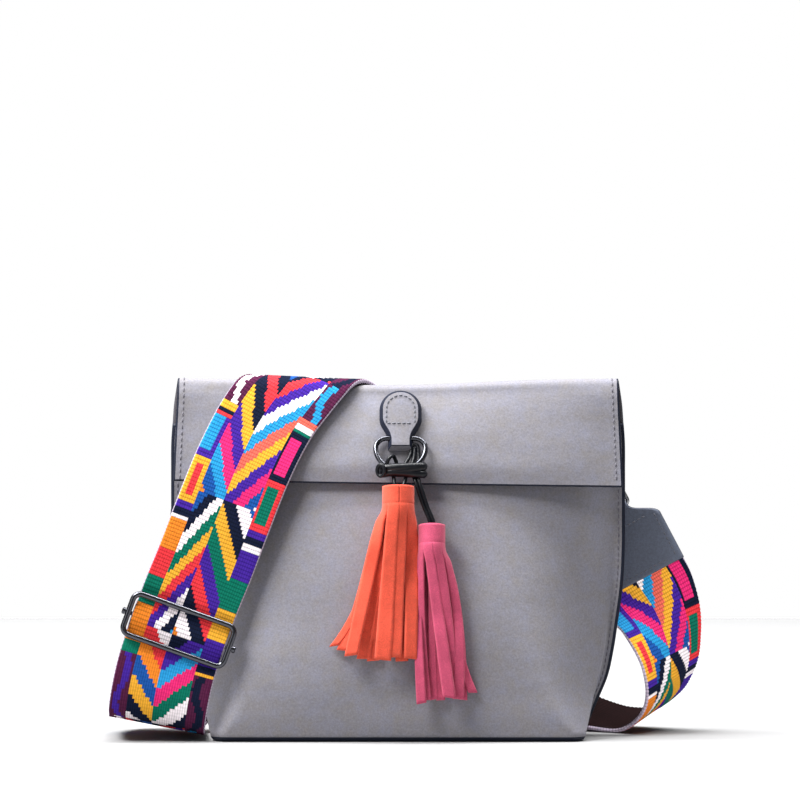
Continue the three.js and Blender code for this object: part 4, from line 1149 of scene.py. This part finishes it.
class BAG_OT_panels(bpy.types.Operator):
    """Leather front, back with the flap, base, and the stitches along their edges."""
    bl_idname = "bag.panels"
    bl_label = "Leather panels"

    def execute(self, context):
        sizes = context.scene.bag_leather
        wall = sizes.wall / MM
        leather = grey_leather(sizes)
        front = pouch_grid(-1, wall, SECTIONS[-1][0])
        back = np.concatenate((pouch_grid(1, wall, SECTIONS[-2][0]), flap_grid(wall)))[:, ::-1]
        for name, grid in (("front_panel", front), ("back_panel", back), ("base_panel", base_grid(wall))):
            vertices, faces, sides = wall_arrays(grid, 0, wall, CUT_EDGE["leather"])
            if name != "base_panel":
                face = sides[:(grid.shape[0] - 1) * (grid.shape[1] - 1)].reshape(grid.shape[0] - 1, -1)
                face[:, (0, -1)] = 2
                face[-1] = 2
                # The roll at the foot gets the dark edge material up to a small height: a dark band along the
                # base
                face[grid[1:, PANEL_COLUMNS // 2, 2] < DARK_FOOT] = 2
            mesh_piece(name + "_leather", (vertices, faces, sides), leather, [name])
        size, pitch, inset = sizes.stitch / MM, sizes.pitch / MM, sizes.inset / MM
        seams = [inset_line(grid[ROLL_STEPS:], inset, side) for grid in (front, back) for side in (0, -1)]
        sewn = joined([stitches(points, normals, size, pitch, THREAD["panel"]) for points, normals in seams])
        thread = shared(sewing_thread, "grey thread", sizes.thread)
        mesh_piece("panel_stitching", sewn, [thread])
        return {"FINISHED"}


def flap_matrix():
    """Frame of the tab on the flap: x across, y up the slope, z off the leather, in metres."""
    slope = Matrix.Rotation(math.pi / 2 - FLAP_SLOPE, 4, "X")
    return Matrix.Translation(Vector(FLAP_POINT) * MM) @ slope @ Matrix.Translation((0, 0, GAP * MM))


def place_matrix(origin, across, along, out):
    """Frame with an origin in millimetres and three unit directions."""
    matrix = Matrix.Identity(4)
    for column, direction in enumerate((across, along, out)):
        for row in range(3):
            matrix[row][column] = direction[row]
    matrix.translation = Vector(origin) * MM
    return matrix


def put(piece, place, material):
    """Gives a modelled piece its place in its own mesh, and its material."""
    piece.matrix_world = place
    bpy.ops.object.transform_apply(location=True, rotation=True, scale=True)
    piece.data.materials.clear()
    piece.data.materials.append(material)
    return piece


def select_where(piece, test):
    """Selects the vertices of a piece in edit mode whose place passes a test, and nothing else."""
    bpy.ops.mesh.select_all(action="DESELECT")
    bpy.ops.object.mode_set(mode="OBJECT")
    for vertex in piece.data.vertices:
        vertex.select = bool(test(vertex.co / MM))
    bpy.ops.object.mode_set(mode="EDIT")


def start_piece(name, add, **settings):
    """Adds a primitive as a new piece and opens it in edit mode."""
    bpy.ops.object.select_all(action="DESELECT")
    add(**settings)
    piece = bpy.context.object
    piece.name = name
    bpy.ops.object.mode_set(mode="EDIT")
    bpy.ops.mesh.select_mode(type="VERT")
    bpy.ops.mesh.select_all(action="SELECT")
    return piece


def extrude_edge(step, width=1):
    """Draws the selected edge out along y, in millimetres, and scales it across."""
    bpy.ops.mesh.extrude_region_move(TRANSFORM_OT_translate={"value": (0, step * MM, 0)})
    bpy.ops.transform.resize(value=(width, 1, 1))


def extrude(step):
    """Draws the selected faces out along z, in millimetres."""
    bpy.ops.mesh.extrude_region_move(TRANSFORM_OT_translate={"value": (0, 0, step * MM)})


def close_piece():
    """Turns all faces of a piece outwards and leaves edit mode."""
    bpy.ops.mesh.select_all(action="SELECT")
    bpy.ops.mesh.normals_make_consistent(inside=False)
    bpy.ops.object.mode_set(mode="OBJECT")


def select_only(piece, *others):
    """Makes a piece the active one, and selects it with the others and nothing else."""
    bpy.ops.object.select_all(action="DESELECT")
    bpy.context.view_layer.objects.active = piece
    for each in (piece, *others):
        each.select_set(True)


def one_outline():
    """Makes the faces of a flat piece one face."""
    bpy.ops.mesh.select_all(action="SELECT")
    bpy.ops.mesh.dissolve_limited(angle_limit=math.radians(1))


def outline_to_wire(piece, wire):
    """Leaves the flat piece's outline as a swept round wire, and returns it as a mesh."""
    bpy.ops.mesh.select_all(action="SELECT")
    bpy.ops.mesh.delete(type="ONLY_FACE")
    bpy.ops.object.mode_set(mode="OBJECT")
    bpy.ops.object.convert(target="CURVE")
    curve = bpy.context.object.data
    curve.bevel_depth = wire / 2
    curve.bevel_resolution = 6
    bpy.ops.object.convert(target="MESH")
    bpy.ops.object.shade_smooth()
    return bpy.context.object


def wire_rectangle(name, half_across, half_along, corner, wire, place, material):
    """A rounded rectangle of wire: a plane's corners are bevelled and its outline is swept."""
    piece = start_piece(name, bpy.ops.mesh.primitive_plane_add, size=2)
    bpy.ops.transform.resize(value=(half_across * MM, half_along * MM, 1))
    bpy.ops.mesh.bevel(offset=corner * MM, segments=8, affect="VERTICES")
    return put(outline_to_wire(piece, wire), place, material)


class BAG_OT_flap_tab(bpy.types.Operator):
    """Padded leather tab on the flap, with its stitches."""
    bl_idname = "bag.flap_tab"
    bl_label = "Flap tab"

    def execute(self, context):
        sizes = context.scene.bag_leather
        centre = TAB["top"] - TAB["half"]
        tab = start_piece(
            "flap_tab_leather", bpy.ops.mesh.primitive_circle_add, vertices=CIRCLE_POINTS,
            radius=TAB["half"] * MM, fill_type="NGON")
        bpy.ops.transform.translate(value=(0, centre * MM, 0))
        bpy.ops.mesh.bisect(plane_co=(0, centre * MM, 0), plane_no=(0, 1, 0), clear_inner=True)
        select_where(tab, lambda spot: spot.y < centre + TOUCH)
        extrude_edge(TAB["shoulder"] - centre)
        extrude_edge(TAB["neck_top"] - TAB["shoulder"], TAB["neck_half"] / TAB["half"])
        extrude_edge(TAB["bottom"] - TAB["neck_top"])
        one_outline()
        select_where(tab, lambda spot: TAB["neck_top"] - TOUCH < spot.y < TAB["shoulder"] + TOUCH)
        bpy.ops.mesh.bevel(offset=TAB["round"] * MM, segments=6, affect="VERTICES")
        bpy.ops.mesh.select_all(action="SELECT")
        extrude(TAB_PADDING["foot"])
        rise = TAB["thick"] - TAB_PADDING["foot"]
        bpy.ops.mesh.inset(thickness=TAB_PADDING["slope"] * MM, depth=rise * MM)
        close_piece()
        rounded = tab.modifiers.new("rounded edges", "BEVEL")
        rounded.width = TAB_PADDING["bevel"] * MM
        rounded.segments = 3
        rounded.limit_method = "ANGLE"
        rounded.angle_limit = math.radians(20)
        bpy.ops.object.modifier_apply(modifier=rounded.name)
        cutter = start_piece(
            "ring_way", bpy.ops.mesh.primitive_cylinder_add, vertices=BAR_POINTS,
            radius=(RING["wire"] / 2 + GAP) * MM, depth=4 * TAB["neck_half"] * MM,
            rotation=(0, math.pi / 2, 0), location=(0, RING["bar"] * MM, TAB["thick"] / 2 * MM))
        bpy.ops.object.mode_set(mode="OBJECT")
        select_only(tab)
        way = tab.modifiers.new("way for the ring", "BOOLEAN")
        way.object = cutter
        bpy.ops.object.modifier_apply(modifier=way.name)
        bpy.data.objects.remove(cutter)
        bpy.ops.object.shade_smooth_by_angle(angle=math.radians(35))
        face, _, edge = grey_leather(sizes)
        put(tab, flap_matrix(), face)
        tab.data.materials.append(edge)
        out = flap_matrix().to_3x3() @ Vector((0, 0, 1))
        down = flap_matrix().to_3x3() @ Vector((0, -1, 0))
        for polygon in tab.data.polygons:
            folded = polygon.normal.dot(down) > TAB_FOLDED
            polygon.material_index = int(polygon.normal.dot(out) < TAB_FACE and not folded)
        settle(tab, ["flap_tab"])
        self.sew(sizes)
        return {"FINISHED"}

    def sew(self, sizes):
        """Stitches round the tab, and across it above the ring."""
        radius = TAB["half"] - TAB_STITCH["inset"]
        centre = TAB["top"] - TAB["half"]
        turn = np.linspace(0, np.pi, 25)
        arch = np.stack((radius * np.cos(turn), centre + radius * np.sin(turn)), axis=1)
        foot = TAB["shoulder"] - TAB_STITCH["foot"]
        loop = np.concatenate(([(radius, foot)], arch, [(-radius, foot)]))
        cross = np.array([(-radius, foot), (radius, foot)])
        matrix = flap_matrix()
        out = np.array(matrix.to_3x3() @ Vector((0, 0, 1)))
        height = TAB["thick"] * MM
        parts = []
        for line in (loop, cross):
            spots = np.array([matrix @ Vector((x * MM, y * MM, height)) for x, y in line]) / MM
            ups = np.tile(out, (len(spots), 1))
            parts.append(stitches(spots, ups, TAB_STITCH["length"], TAB_STITCH["pitch"], THREAD["tab"]))
        thread = shared(sewing_thread, "slate thread", sizes.dark_thread)
        mesh_piece("tab_stitching", joined(parts), [thread])


class BAG_OT_metal(bpy.types.Operator):
    """D-ring, slider frame with its bar, and the side rings."""
    bl_idname = "bag.metal"
    bl_label = "Metal trim"

    def execute(self, context):
        sizes = context.scene.bag_trim
        gunmetal = plated_wire("gunmetal plate", sizes.gunmetal, roughness=0.16)
        nickel = plated_wire("nickel plate", sizes.nickel, roughness=0.18)
        settle(self.d_ring(gunmetal), ["d_ring"])
        grid, row = strap_grid(context.scene.bag_strap.rib / MM / 2)
        centre, across, along, out = slider_place(grid, row)
        place = place_matrix(centre + out * SLIDER["lift"], across, along, np.cross(across, along))
        slider = wire_rectangle(
            "slider_frame_wire", SLIDER["half"], SLIDER["rail"], SLIDER["corner"], sizes.slider_wire, place,
            gunmetal)
        settle(slider, ["slider_frame"])
        place = place_matrix(centre + out * SLIDER["bar_lift"], along, np.cross(across, along), across)
        settle(self.slider_bar(sizes, place, gunmetal), ["slider_bar"])
        for side, end in STRAP_ENDS.items():
            origin, along, across, _ = end_frame(end)
            middle = origin + along * (SIDE_RING["low"] + SIDE_RING["high"]) / 2
            place = place_matrix(middle, across, along, np.cross(across, along))
            half_along = (SIDE_RING["high"] - SIDE_RING["low"]) / 2
            ring = wire_rectangle(
                f"side_ring_{side}_wire", SIDE_RING["half"], half_along, SIDE_RING["corner"], sizes.ring_wire,
                place, nickel)
            settle(ring, [f"side_ring_{side}"])
        return {"FINISHED"}

    def d_ring(self, material):
        """A half disc with a straight bar above it and rounded corners, whose outline is swept."""
        bar = np.array((flap_matrix() @ Vector((0, RING["bar"] * MM, TAB["thick"] / 2 * MM)))) / MM
        down = np.array((0, RING["bottom"][0] - bar[1], RING["bottom"][1] - bar[2]))
        drop = np.linalg.norm(down)
        ring = start_piece(
            "d_ring_wire", bpy.ops.mesh.primitive_circle_add, vertices=CIRCLE_POINTS,
            radius=RING["half"] * MM, fill_type="NGON")
        bpy.ops.transform.resize(value=(1, (drop - RING["corner"]) / RING["half"], 1))
        bpy.ops.mesh.bisect(plane_co=(0, 0, 0), plane_no=(0, 1, 0), clear_outer=True)
        select_where(ring, lambda spot: spot.y > -TOUCH)
        extrude_edge(RING["corner"])
        one_outline()
        select_where(ring, lambda spot: spot.y > RING["corner"] - TOUCH)
        bpy.ops.mesh.bevel(offset=RING["round"] * RING["corner"] * MM, segments=8, affect="VERTICES")
        up = -down / drop
        across = np.array((1.0, 0, 0))
        place = place_matrix(bar - up * RING["corner"], across, up, np.cross(across, up))
        return put(outline_to_wire(ring, RING["wire"] * MM), place, material)

    def slider_bar(self, sizes, place, material):
        """A round bar with a small peened head at each end."""
        half = SLIDER["bar_half"] - (BAR_HEAD["length"] + BAR_HEAD["dome"])
        bar = start_piece(
            "slider_bar_rod", bpy.ops.mesh.primitive_cylinder_add, vertices=BAR_POINTS,
            radius=sizes.slider_bar / 2, depth=2 * half * MM)
        for end in (-1, 1):
            select_where(bar, lambda spot: end * spot.z > half - TOUCH)
            extrude(0)
            bpy.ops.transform.resize(value=(BAR_HEAD["girth"], BAR_HEAD["girth"], 1))
            extrude(end * BAR_HEAD["length"])
            extrude(end * BAR_HEAD["dome"])
            bpy.ops.transform.resize(value=(BAR_HEAD["tip"], BAR_HEAD["tip"], 1))
        close_piece()
        bpy.ops.object.shade_smooth_by_angle(angle=math.radians(40))
        return put(bar, place, material)


def cord_piece(name, lines, diameter):
    """Round cord along several lines of points; a line that ends where it starts is a closed loop."""
    curve = bpy.data.curves.new(name, "CURVE")
    curve.dimensions = "3D"
    curve.bevel_depth = diameter / 2
    curve.bevel_resolution = 5
    curve.use_fill_caps = True
    for line in lines:
        loop = bool(np.linalg.norm(line[0] - line[-1]) < TOUCH)
        points = line[:-1] if loop else line
        spline = curve.splines.new("POLY")
        spline.points.add(len(points) - 1)
        for place, point in zip(spline.points, points):
            place.co = (*(point * MM), 1)
        spline.use_cyclic_u = loop
    piece = bpy.data.objects.new(name, curve)
    bpy.context.scene.collection.objects.link(piece)
    select_only(piece)
    bpy.ops.object.convert(target="MESH")
    bpy.ops.object.shade_smooth()
    piece = bpy.context.object
    piece.data.materials.clear()
    return piece


class BAG_OT_cord(bpy.types.Operator):
    """Waxed cord wound on the ring, with a drop to each tassel."""
    bl_idname = "bag.cord"
    bl_label = "Tassel cord"

    def execute(self, context):
        sizes = context.scene.bag_trim
        from_knot = np.array((0, KNOT["y"], 0))
        wraps = [self.wrap(z, tilt) for z, tilt in WRAPS]
        turn = np.linspace(0, 2 * np.pi, SIDE_LOOP_POINTS)
        loop = np.stack((SIDE_LOOP["x"] + SIDE_LOOP["half"] * np.cos(turn),
                         KNOT["y"] + SIDE_LOOP["depth"] - np.cos(turn),
                         SIDE_LOOP["z"] + SIDE_LOOP["height"] * np.sin(turn)), axis=1)
        thick = cord_piece("tassel_cord_wraps", wraps, KNOT["cord"] * MM)
        routes = [np.array(line) + from_knot for line in (OVER_RING, *BACK_LOOPS)]
        heads = [((spec["y"], spec["top"]), (spec["y"], spec["top"] - spec["head"] / 2))
                 for spec in (ORANGE, PINK)]
        short = ((KNOT["y"], WRAPS[1][0]), *heads[0])
        for side in (-1, 1):
            routes.append([(ORANGE["x"] + shift + side * half, *spot)
                           for (shift, half), spot in zip(SHORT_DROP, short)])
            drop = [(x + side * TWIN, y, z) for x, y, z in np.array(LONG_DROP) + from_knot]
            routes.append([*drop, *((PINK["x"] + side * TWIN, *spot) for spot in heads[1])])
        lines = [loop, *(fine_line(route, CORD_STEP) for route in routes)]
        thin = cord_piece("tassel_cord_drops", lines, sizes.cord)
        select_only(thick, thin)
        bpy.ops.object.join()
        thick.name = "tassel_cord_waxed"
        thick.data.materials.append(waxed_cord("waxed cord", sizes.black))
        settle(thick, ["tassel_cord"])
        return {"FINISHED"}

    def wrap(self, z, tilt):
        """One turn of cord round the foot of the ring, higher at one end than at the other."""
        turn = np.linspace(0, 2 * np.pi, WRAP_POINTS)
        x = KNOT["half"] * np.sign(np.cos(turn)) * np.abs(np.cos(turn)) ** KNOT["square"]
        y = KNOT["y"] + KNOT["depth"] * np.sin(turn)
        return np.stack((KNOT["x"] + x, y, z + tilt * x / KNOT["half"]), axis=1)


def front_y(x, z, wall):
    """Outer face of the front panel."""
    section = table(SECTIONS, SECTION_COLUMNS)
    half, seam, front, square = (float(smooth(section["z"], section[key], z))
                                 for key in ("half", "seam", "front", "square"))
    inside = max(1 - (abs(x) / (half - seam)) ** square, 0)
    return -(GAP + wall) - front * inside ** (1 / square)


def on_head(spec, radius, angles, z):
    """Points on the leaning head at a height along its axis."""
    out = radius * np.sin(angles)
    return np.stack((spec["x"] + radius * np.cos(angles), spec["y"] + out - spec["lean"] * (spec["top"] - z),
                     z - spec["lean"] * (out + spec["radius"])), axis=-1)


def strip_grid(spec, strip, wall, half_wall):
    """Middle surface of one suede strip: on the round of the head at first, then hanging to its own foot."""
    at = dict(zip(STRIP_NAMES, strip))
    turn = math.radians(at["turn"])
    half_span = math.radians(at["span"]) / 2
    radius = spec["radius"] - half_wall + at["lift"]
    slit = spec["top"] - spec["head"]
    start = on_head(spec, radius, turn, slit)
    lean = (at["turn"] + 270) % 360 - 180
    level = 0 if abs(lean) < STRIP["sideways"] else math.copysign(180, lean)
    places = np.linspace(-1, 1, STRIP_COLUMNS)
    rows = []
    for z in np.linspace(slit + COLLAR["fade"], at["foot_z"], STRIP_ROWS):
        share = float(np.clip((slit - z) / (slit - at["foot_z"]), 0, 1))
        tucked = radius - COLLAR["tuck"] * ease((z - slit) / COLLAR["fade"])
        held = on_head(spec, tucked, turn + places * half_span, z)
        x = start[0] + (at["foot_x"] - start[0]) * share + at["bow"] * math.sin(math.pi * share)
        x += at["flick"] * share ** STRIP["flick"]
        kept = front_y(x, z, wall) - STRIP["clear"] - at["depth"] * ease(STRIP["push"] * share)
        blend = STRIP["blend"]
        y = -math.log(math.exp(-blend * start[1]) + math.exp(-blend * kept)) / blend
        y += soft_wave("strip", at["turn"], at["depth"], z) * share
        yaw = math.radians(lean + (level - lean) * STRIP["squarely"] * ease(share / STRIP["turn"]))
        half = radius * half_span * STRIP["apart"]
        half += (at["width"] / 2 - half) * ease(share)
        across = np.array((math.cos(yaw), math.sin(yaw), 0))
        free = np.array((x, y, z)) + places[:, None] * half * across
        free[:, 2] += STRIP["skew"] * places * math.sin(at["turn"]) * ease(4 * share - 3)
        rows.append(held + (free - held) * ease(share / STRIP["settle"]))
    return np.array(rows)


def collar_grid(spec, half_wall):
    """Outer turn of the rolled head; its seam is at the front or at the back."""
    open_half = COLLAR["open"] / spec["radius"]
    angles = math.radians(spec["seam"]) + np.linspace(open_half, 2 * np.pi - open_half, COLLAR["columns"])
    slit = spec["top"] - spec["head"]
    rows = []
    for z in np.linspace(spec["top"], slit - COLLAR["fade"], COLLAR["rows"]):
        radius = spec["radius"] - half_wall - COLLAR["tuck"] * ease((slit - z) / COLLAR["fade"])
        rows.append(on_head(spec, radius, angles, z))
    return np.array(rows)


def roll_grid(spec, half_wall):
    """Inner turn of the rolled head."""
    turns = np.linspace(0, spec["turns"] * 2 * np.pi, ROLL["columns"])
    radius = spec["radius"] - half_wall * (ROLL["inset"] + ROLL["pitch"] * turns / (2 * np.pi))
    heights = np.linspace(spec["top"] - ROLL["below"], spec["top"] - spec["head"], ROLL["rows"])
    return np.array([on_head(spec, radius, turns, z) for z in heights])


class BAG_OT_tassels(bpy.types.Operator):
    """Two suede tassels: strips on a rolled head."""
    bl_idname = "bag.tassels"
    bl_label = "Suede tassels"

    def execute(self, context):
        sizes = context.scene.bag_trim
        wall = context.scene.bag_leather.wall / MM
        half = sizes.strip / MM / 2
        for name, spec, strips, colour in (
                ("orange", ORANGE, ORANGE_STRIPS, sizes.orange), ("pink", PINK, PINK_STRIPS, sizes.pink)):
            grids = [strip_grid(spec, strip, wall, half) for strip in strips]
            grids += [collar_grid(spec, half), roll_grid(spec, half)]
            parts = [wall_arrays(grid, half, half, CUT_EDGE["suede"]) for grid in grids]
            vertices, faces, sides = joined(parts)
            mesh_piece(f"tassel_{name}_suede", (vertices, faces, np.zeros_like(sides)),
                       [suede(f"{name} suede", colour)], [f"tassel_{name}"])
        return {"FINISHED"}


def end_frame(end):
    """Where the webbing goes into a strap end, and the directions along, across and towards the bag."""
    origin = np.array(end["edge"][0], dtype=float)
    along = unit(np.array(end["tip"][0], dtype=float) - origin)
    across = np.array(end["edge"][1], dtype=float)
    across = unit(across - along * (across @ along))
    return origin, along, across, np.cross(across, along)


def folded_grid(end, steps):
    """Middle surface of a folded strip from rows of distance along, distance out and half width."""
    origin, along, across, to_bag = end_frame(end)
    rows = []
    for distance, out, half in steps:
        spot = origin + along * distance + to_bag * out
        rows.append([spot + across * v * half for v in np.linspace(-1, 1, END_COLUMNS)])
    return np.array(rows)


def round_bar(distance, radius, half, direction):
    """Steps of a fold round a bar."""
    turns = np.linspace(0, np.pi, FOLD_STEPS)[1:-1]
    return [(distance + direction * radius * math.sin(turn), radius * math.cos(turn), half) for turn in turns]


def end_half(distance):
    """Half width of a strap end: full, then sloping shoulders with soft corners, then the neck."""
    marks = (0, STRAP_END["side"], STRAP_END["shoulder"], SIDE_RING["low"])
    full, neck = STRAP_HALF + STRAP_END["margin"], STRAP_END["neck_half"]
    widths = (full, full, neck, neck)
    near = np.linspace(-STRAP_END["soft"], STRAP_END["soft"], 9)
    return float(np.mean(np.interp(distance + near, marks, widths)))


class BAG_OT_strap_ends(bpy.types.Operator):
    """Leather ends of the strap, the loops that carry the side rings, and their stitches."""
    bl_idname = "bag.strap_ends"
    bl_label = "Strap ends"

    def execute(self, context):
        sizes = context.scene.bag_leather
        leather = slate_leather(sizes)
        thick = context.scene.bag_strap.thick / MM
        out = (thick + END_LEATHER) / 2 + STRAP_END["play"]
        distances = np.linspace(0, SIDE_RING["low"], END_ROWS)
        layer = [(distance, end_half(distance)) for distance in distances]
        steps = [(distance, out, half) for distance, half in layer]
        steps += round_bar(SIDE_RING["low"], out, STRAP_END["neck_half"], 1)
        steps += [(distance, -out, half) for distance, half in reversed(layer)]
        threads = []
        for side, end in STRAP_ENDS.items():
            grid = folded_grid(end, steps)
            for name, fold in (("strap_tab", grid), ("side_loop", folded_grid(end, self.loop_steps(end)))):
                arrays = wall_arrays(fold, END_LEATHER / 2, END_LEATHER / 2, CUT_EDGE["leather"])
                mesh_piece(f"{name}_{side}_leather", arrays, leather, [f"{name}_{side}"])
            threads += self.sewing(grid, sizes)
        thread = shared(sewing_thread, "slate thread", sizes.dark_thread)
        mesh_piece("strap_end_stitching", joined(threads), [thread])
        return {"FINISHED"}

    def sewing(self, grid, sizes):
        """Stitches round the part of a strap end that holds the webbing, on both of its faces."""
        normals = grid_normals(grid)
        lines = []
        first, last = END_SEWN
        for rows in (slice(first, last), slice(len(grid) - last, len(grid) - first)):
            face = grid[rows] + normals[rows] * END_LEATHER / 2
            lines += [inset_line(face, sizes.inset / MM, end) for end in (0, -1)]
            inside = slice(END_STITCH["corner"], -END_STITCH["corner"])
            lines += [(face[row, inside], normals[rows][row, inside]) for row in (0, -1)]
        size = END_STITCH["length"] * sizes.stitch / MM
        pitch = END_STITCH["pitch"] * sizes.pitch / MM
        return [stitches(points, out, size, pitch, THREAD["end"]) for points, out in lines]

    def loop_steps(self, end):
        """A loop folded round the ring's upper bar, with both ends sewn to the back of the bag."""
        half, length, sewn = LOOP["half"], LOOP["length"], end["sewn"]
        out = (SIDE_RING["wire"] + END_LEATHER) / 2 + GAP
        high = SIDE_RING["high"]
        return [
            (high + length, sewn, half),
            (high + length / 2, (sewn + out) / 2 + GAP, half),
            (high, out, half),
            *round_bar(high, out, half, -1),
            (high, -out, half),
            (high + length / 2, (sewn - out) / 2 - END_LEATHER, half),
            (high + length, sewn - END_LEATHER - GAP, half),
        ]


class BAG_PT_panel(bpy.types.Panel):
    """Sidebar panel of the bag."""
    bl_idname = "BAG_PT_panel"
    bl_label = "Leather Shoulder Bag"
    bl_space_type = "VIEW_3D"
    bl_region_type = "UI"
    bl_category = "Bag"

    def draw(self, context):
        for group, _ in GROUPS:
            sizes = getattr(context.scene, group)
            box = self.layout.box()
            for name in sizes.bl_rna.properties.keys():
                if name not in ("rna_type", "name"):
                    box.prop(sizes, name)
        for operator in OPERATORS:
            self.layout.operator(operator.bl_idname)


GROUPS = (
    ("bag_leather", BagLeather), ("bag_strap", BagStrap), ("bag_trim", BagTrim), ("bag_stage", BagStage),
)
OPERATORS = (
    BAG_OT_stage, BAG_OT_strap, BAG_OT_panels, BAG_OT_flap_tab, BAG_OT_metal, BAG_OT_cord, BAG_OT_tassels,
    BAG_OT_strap_ends,
)


def register():
    for name, group in GROUPS:
        bpy.utils.register_class(group)
        setattr(bpy.types.Scene, name, bpy.props.PointerProperty(type=group))
    for operator in OPERATORS:
        bpy.utils.register_class(operator)
    bpy.utils.register_class(BAG_PT_panel)


def unregister():
    bpy.utils.unregister_class(BAG_PT_panel)
    for operator in reversed(OPERATORS):
        bpy.utils.unregister_class(operator)
    for name, group in reversed(GROUPS):
        delattr(bpy.types.Scene, name)
        bpy.utils.unregister_class(group)


def main():
    register()
    bpy.ops.bag.stage()
    bpy.ops.bag.strap()
    bpy.ops.bag.panels()
    bpy.ops.bag.flap_tab()
    bpy.ops.bag.metal()
    bpy.ops.bag.cord()
    bpy.ops.bag.tassels()
    bpy.ops.bag.strap_ends()
    bpy.context.view_layer.update()


if __name__ == "__main__":
    main()
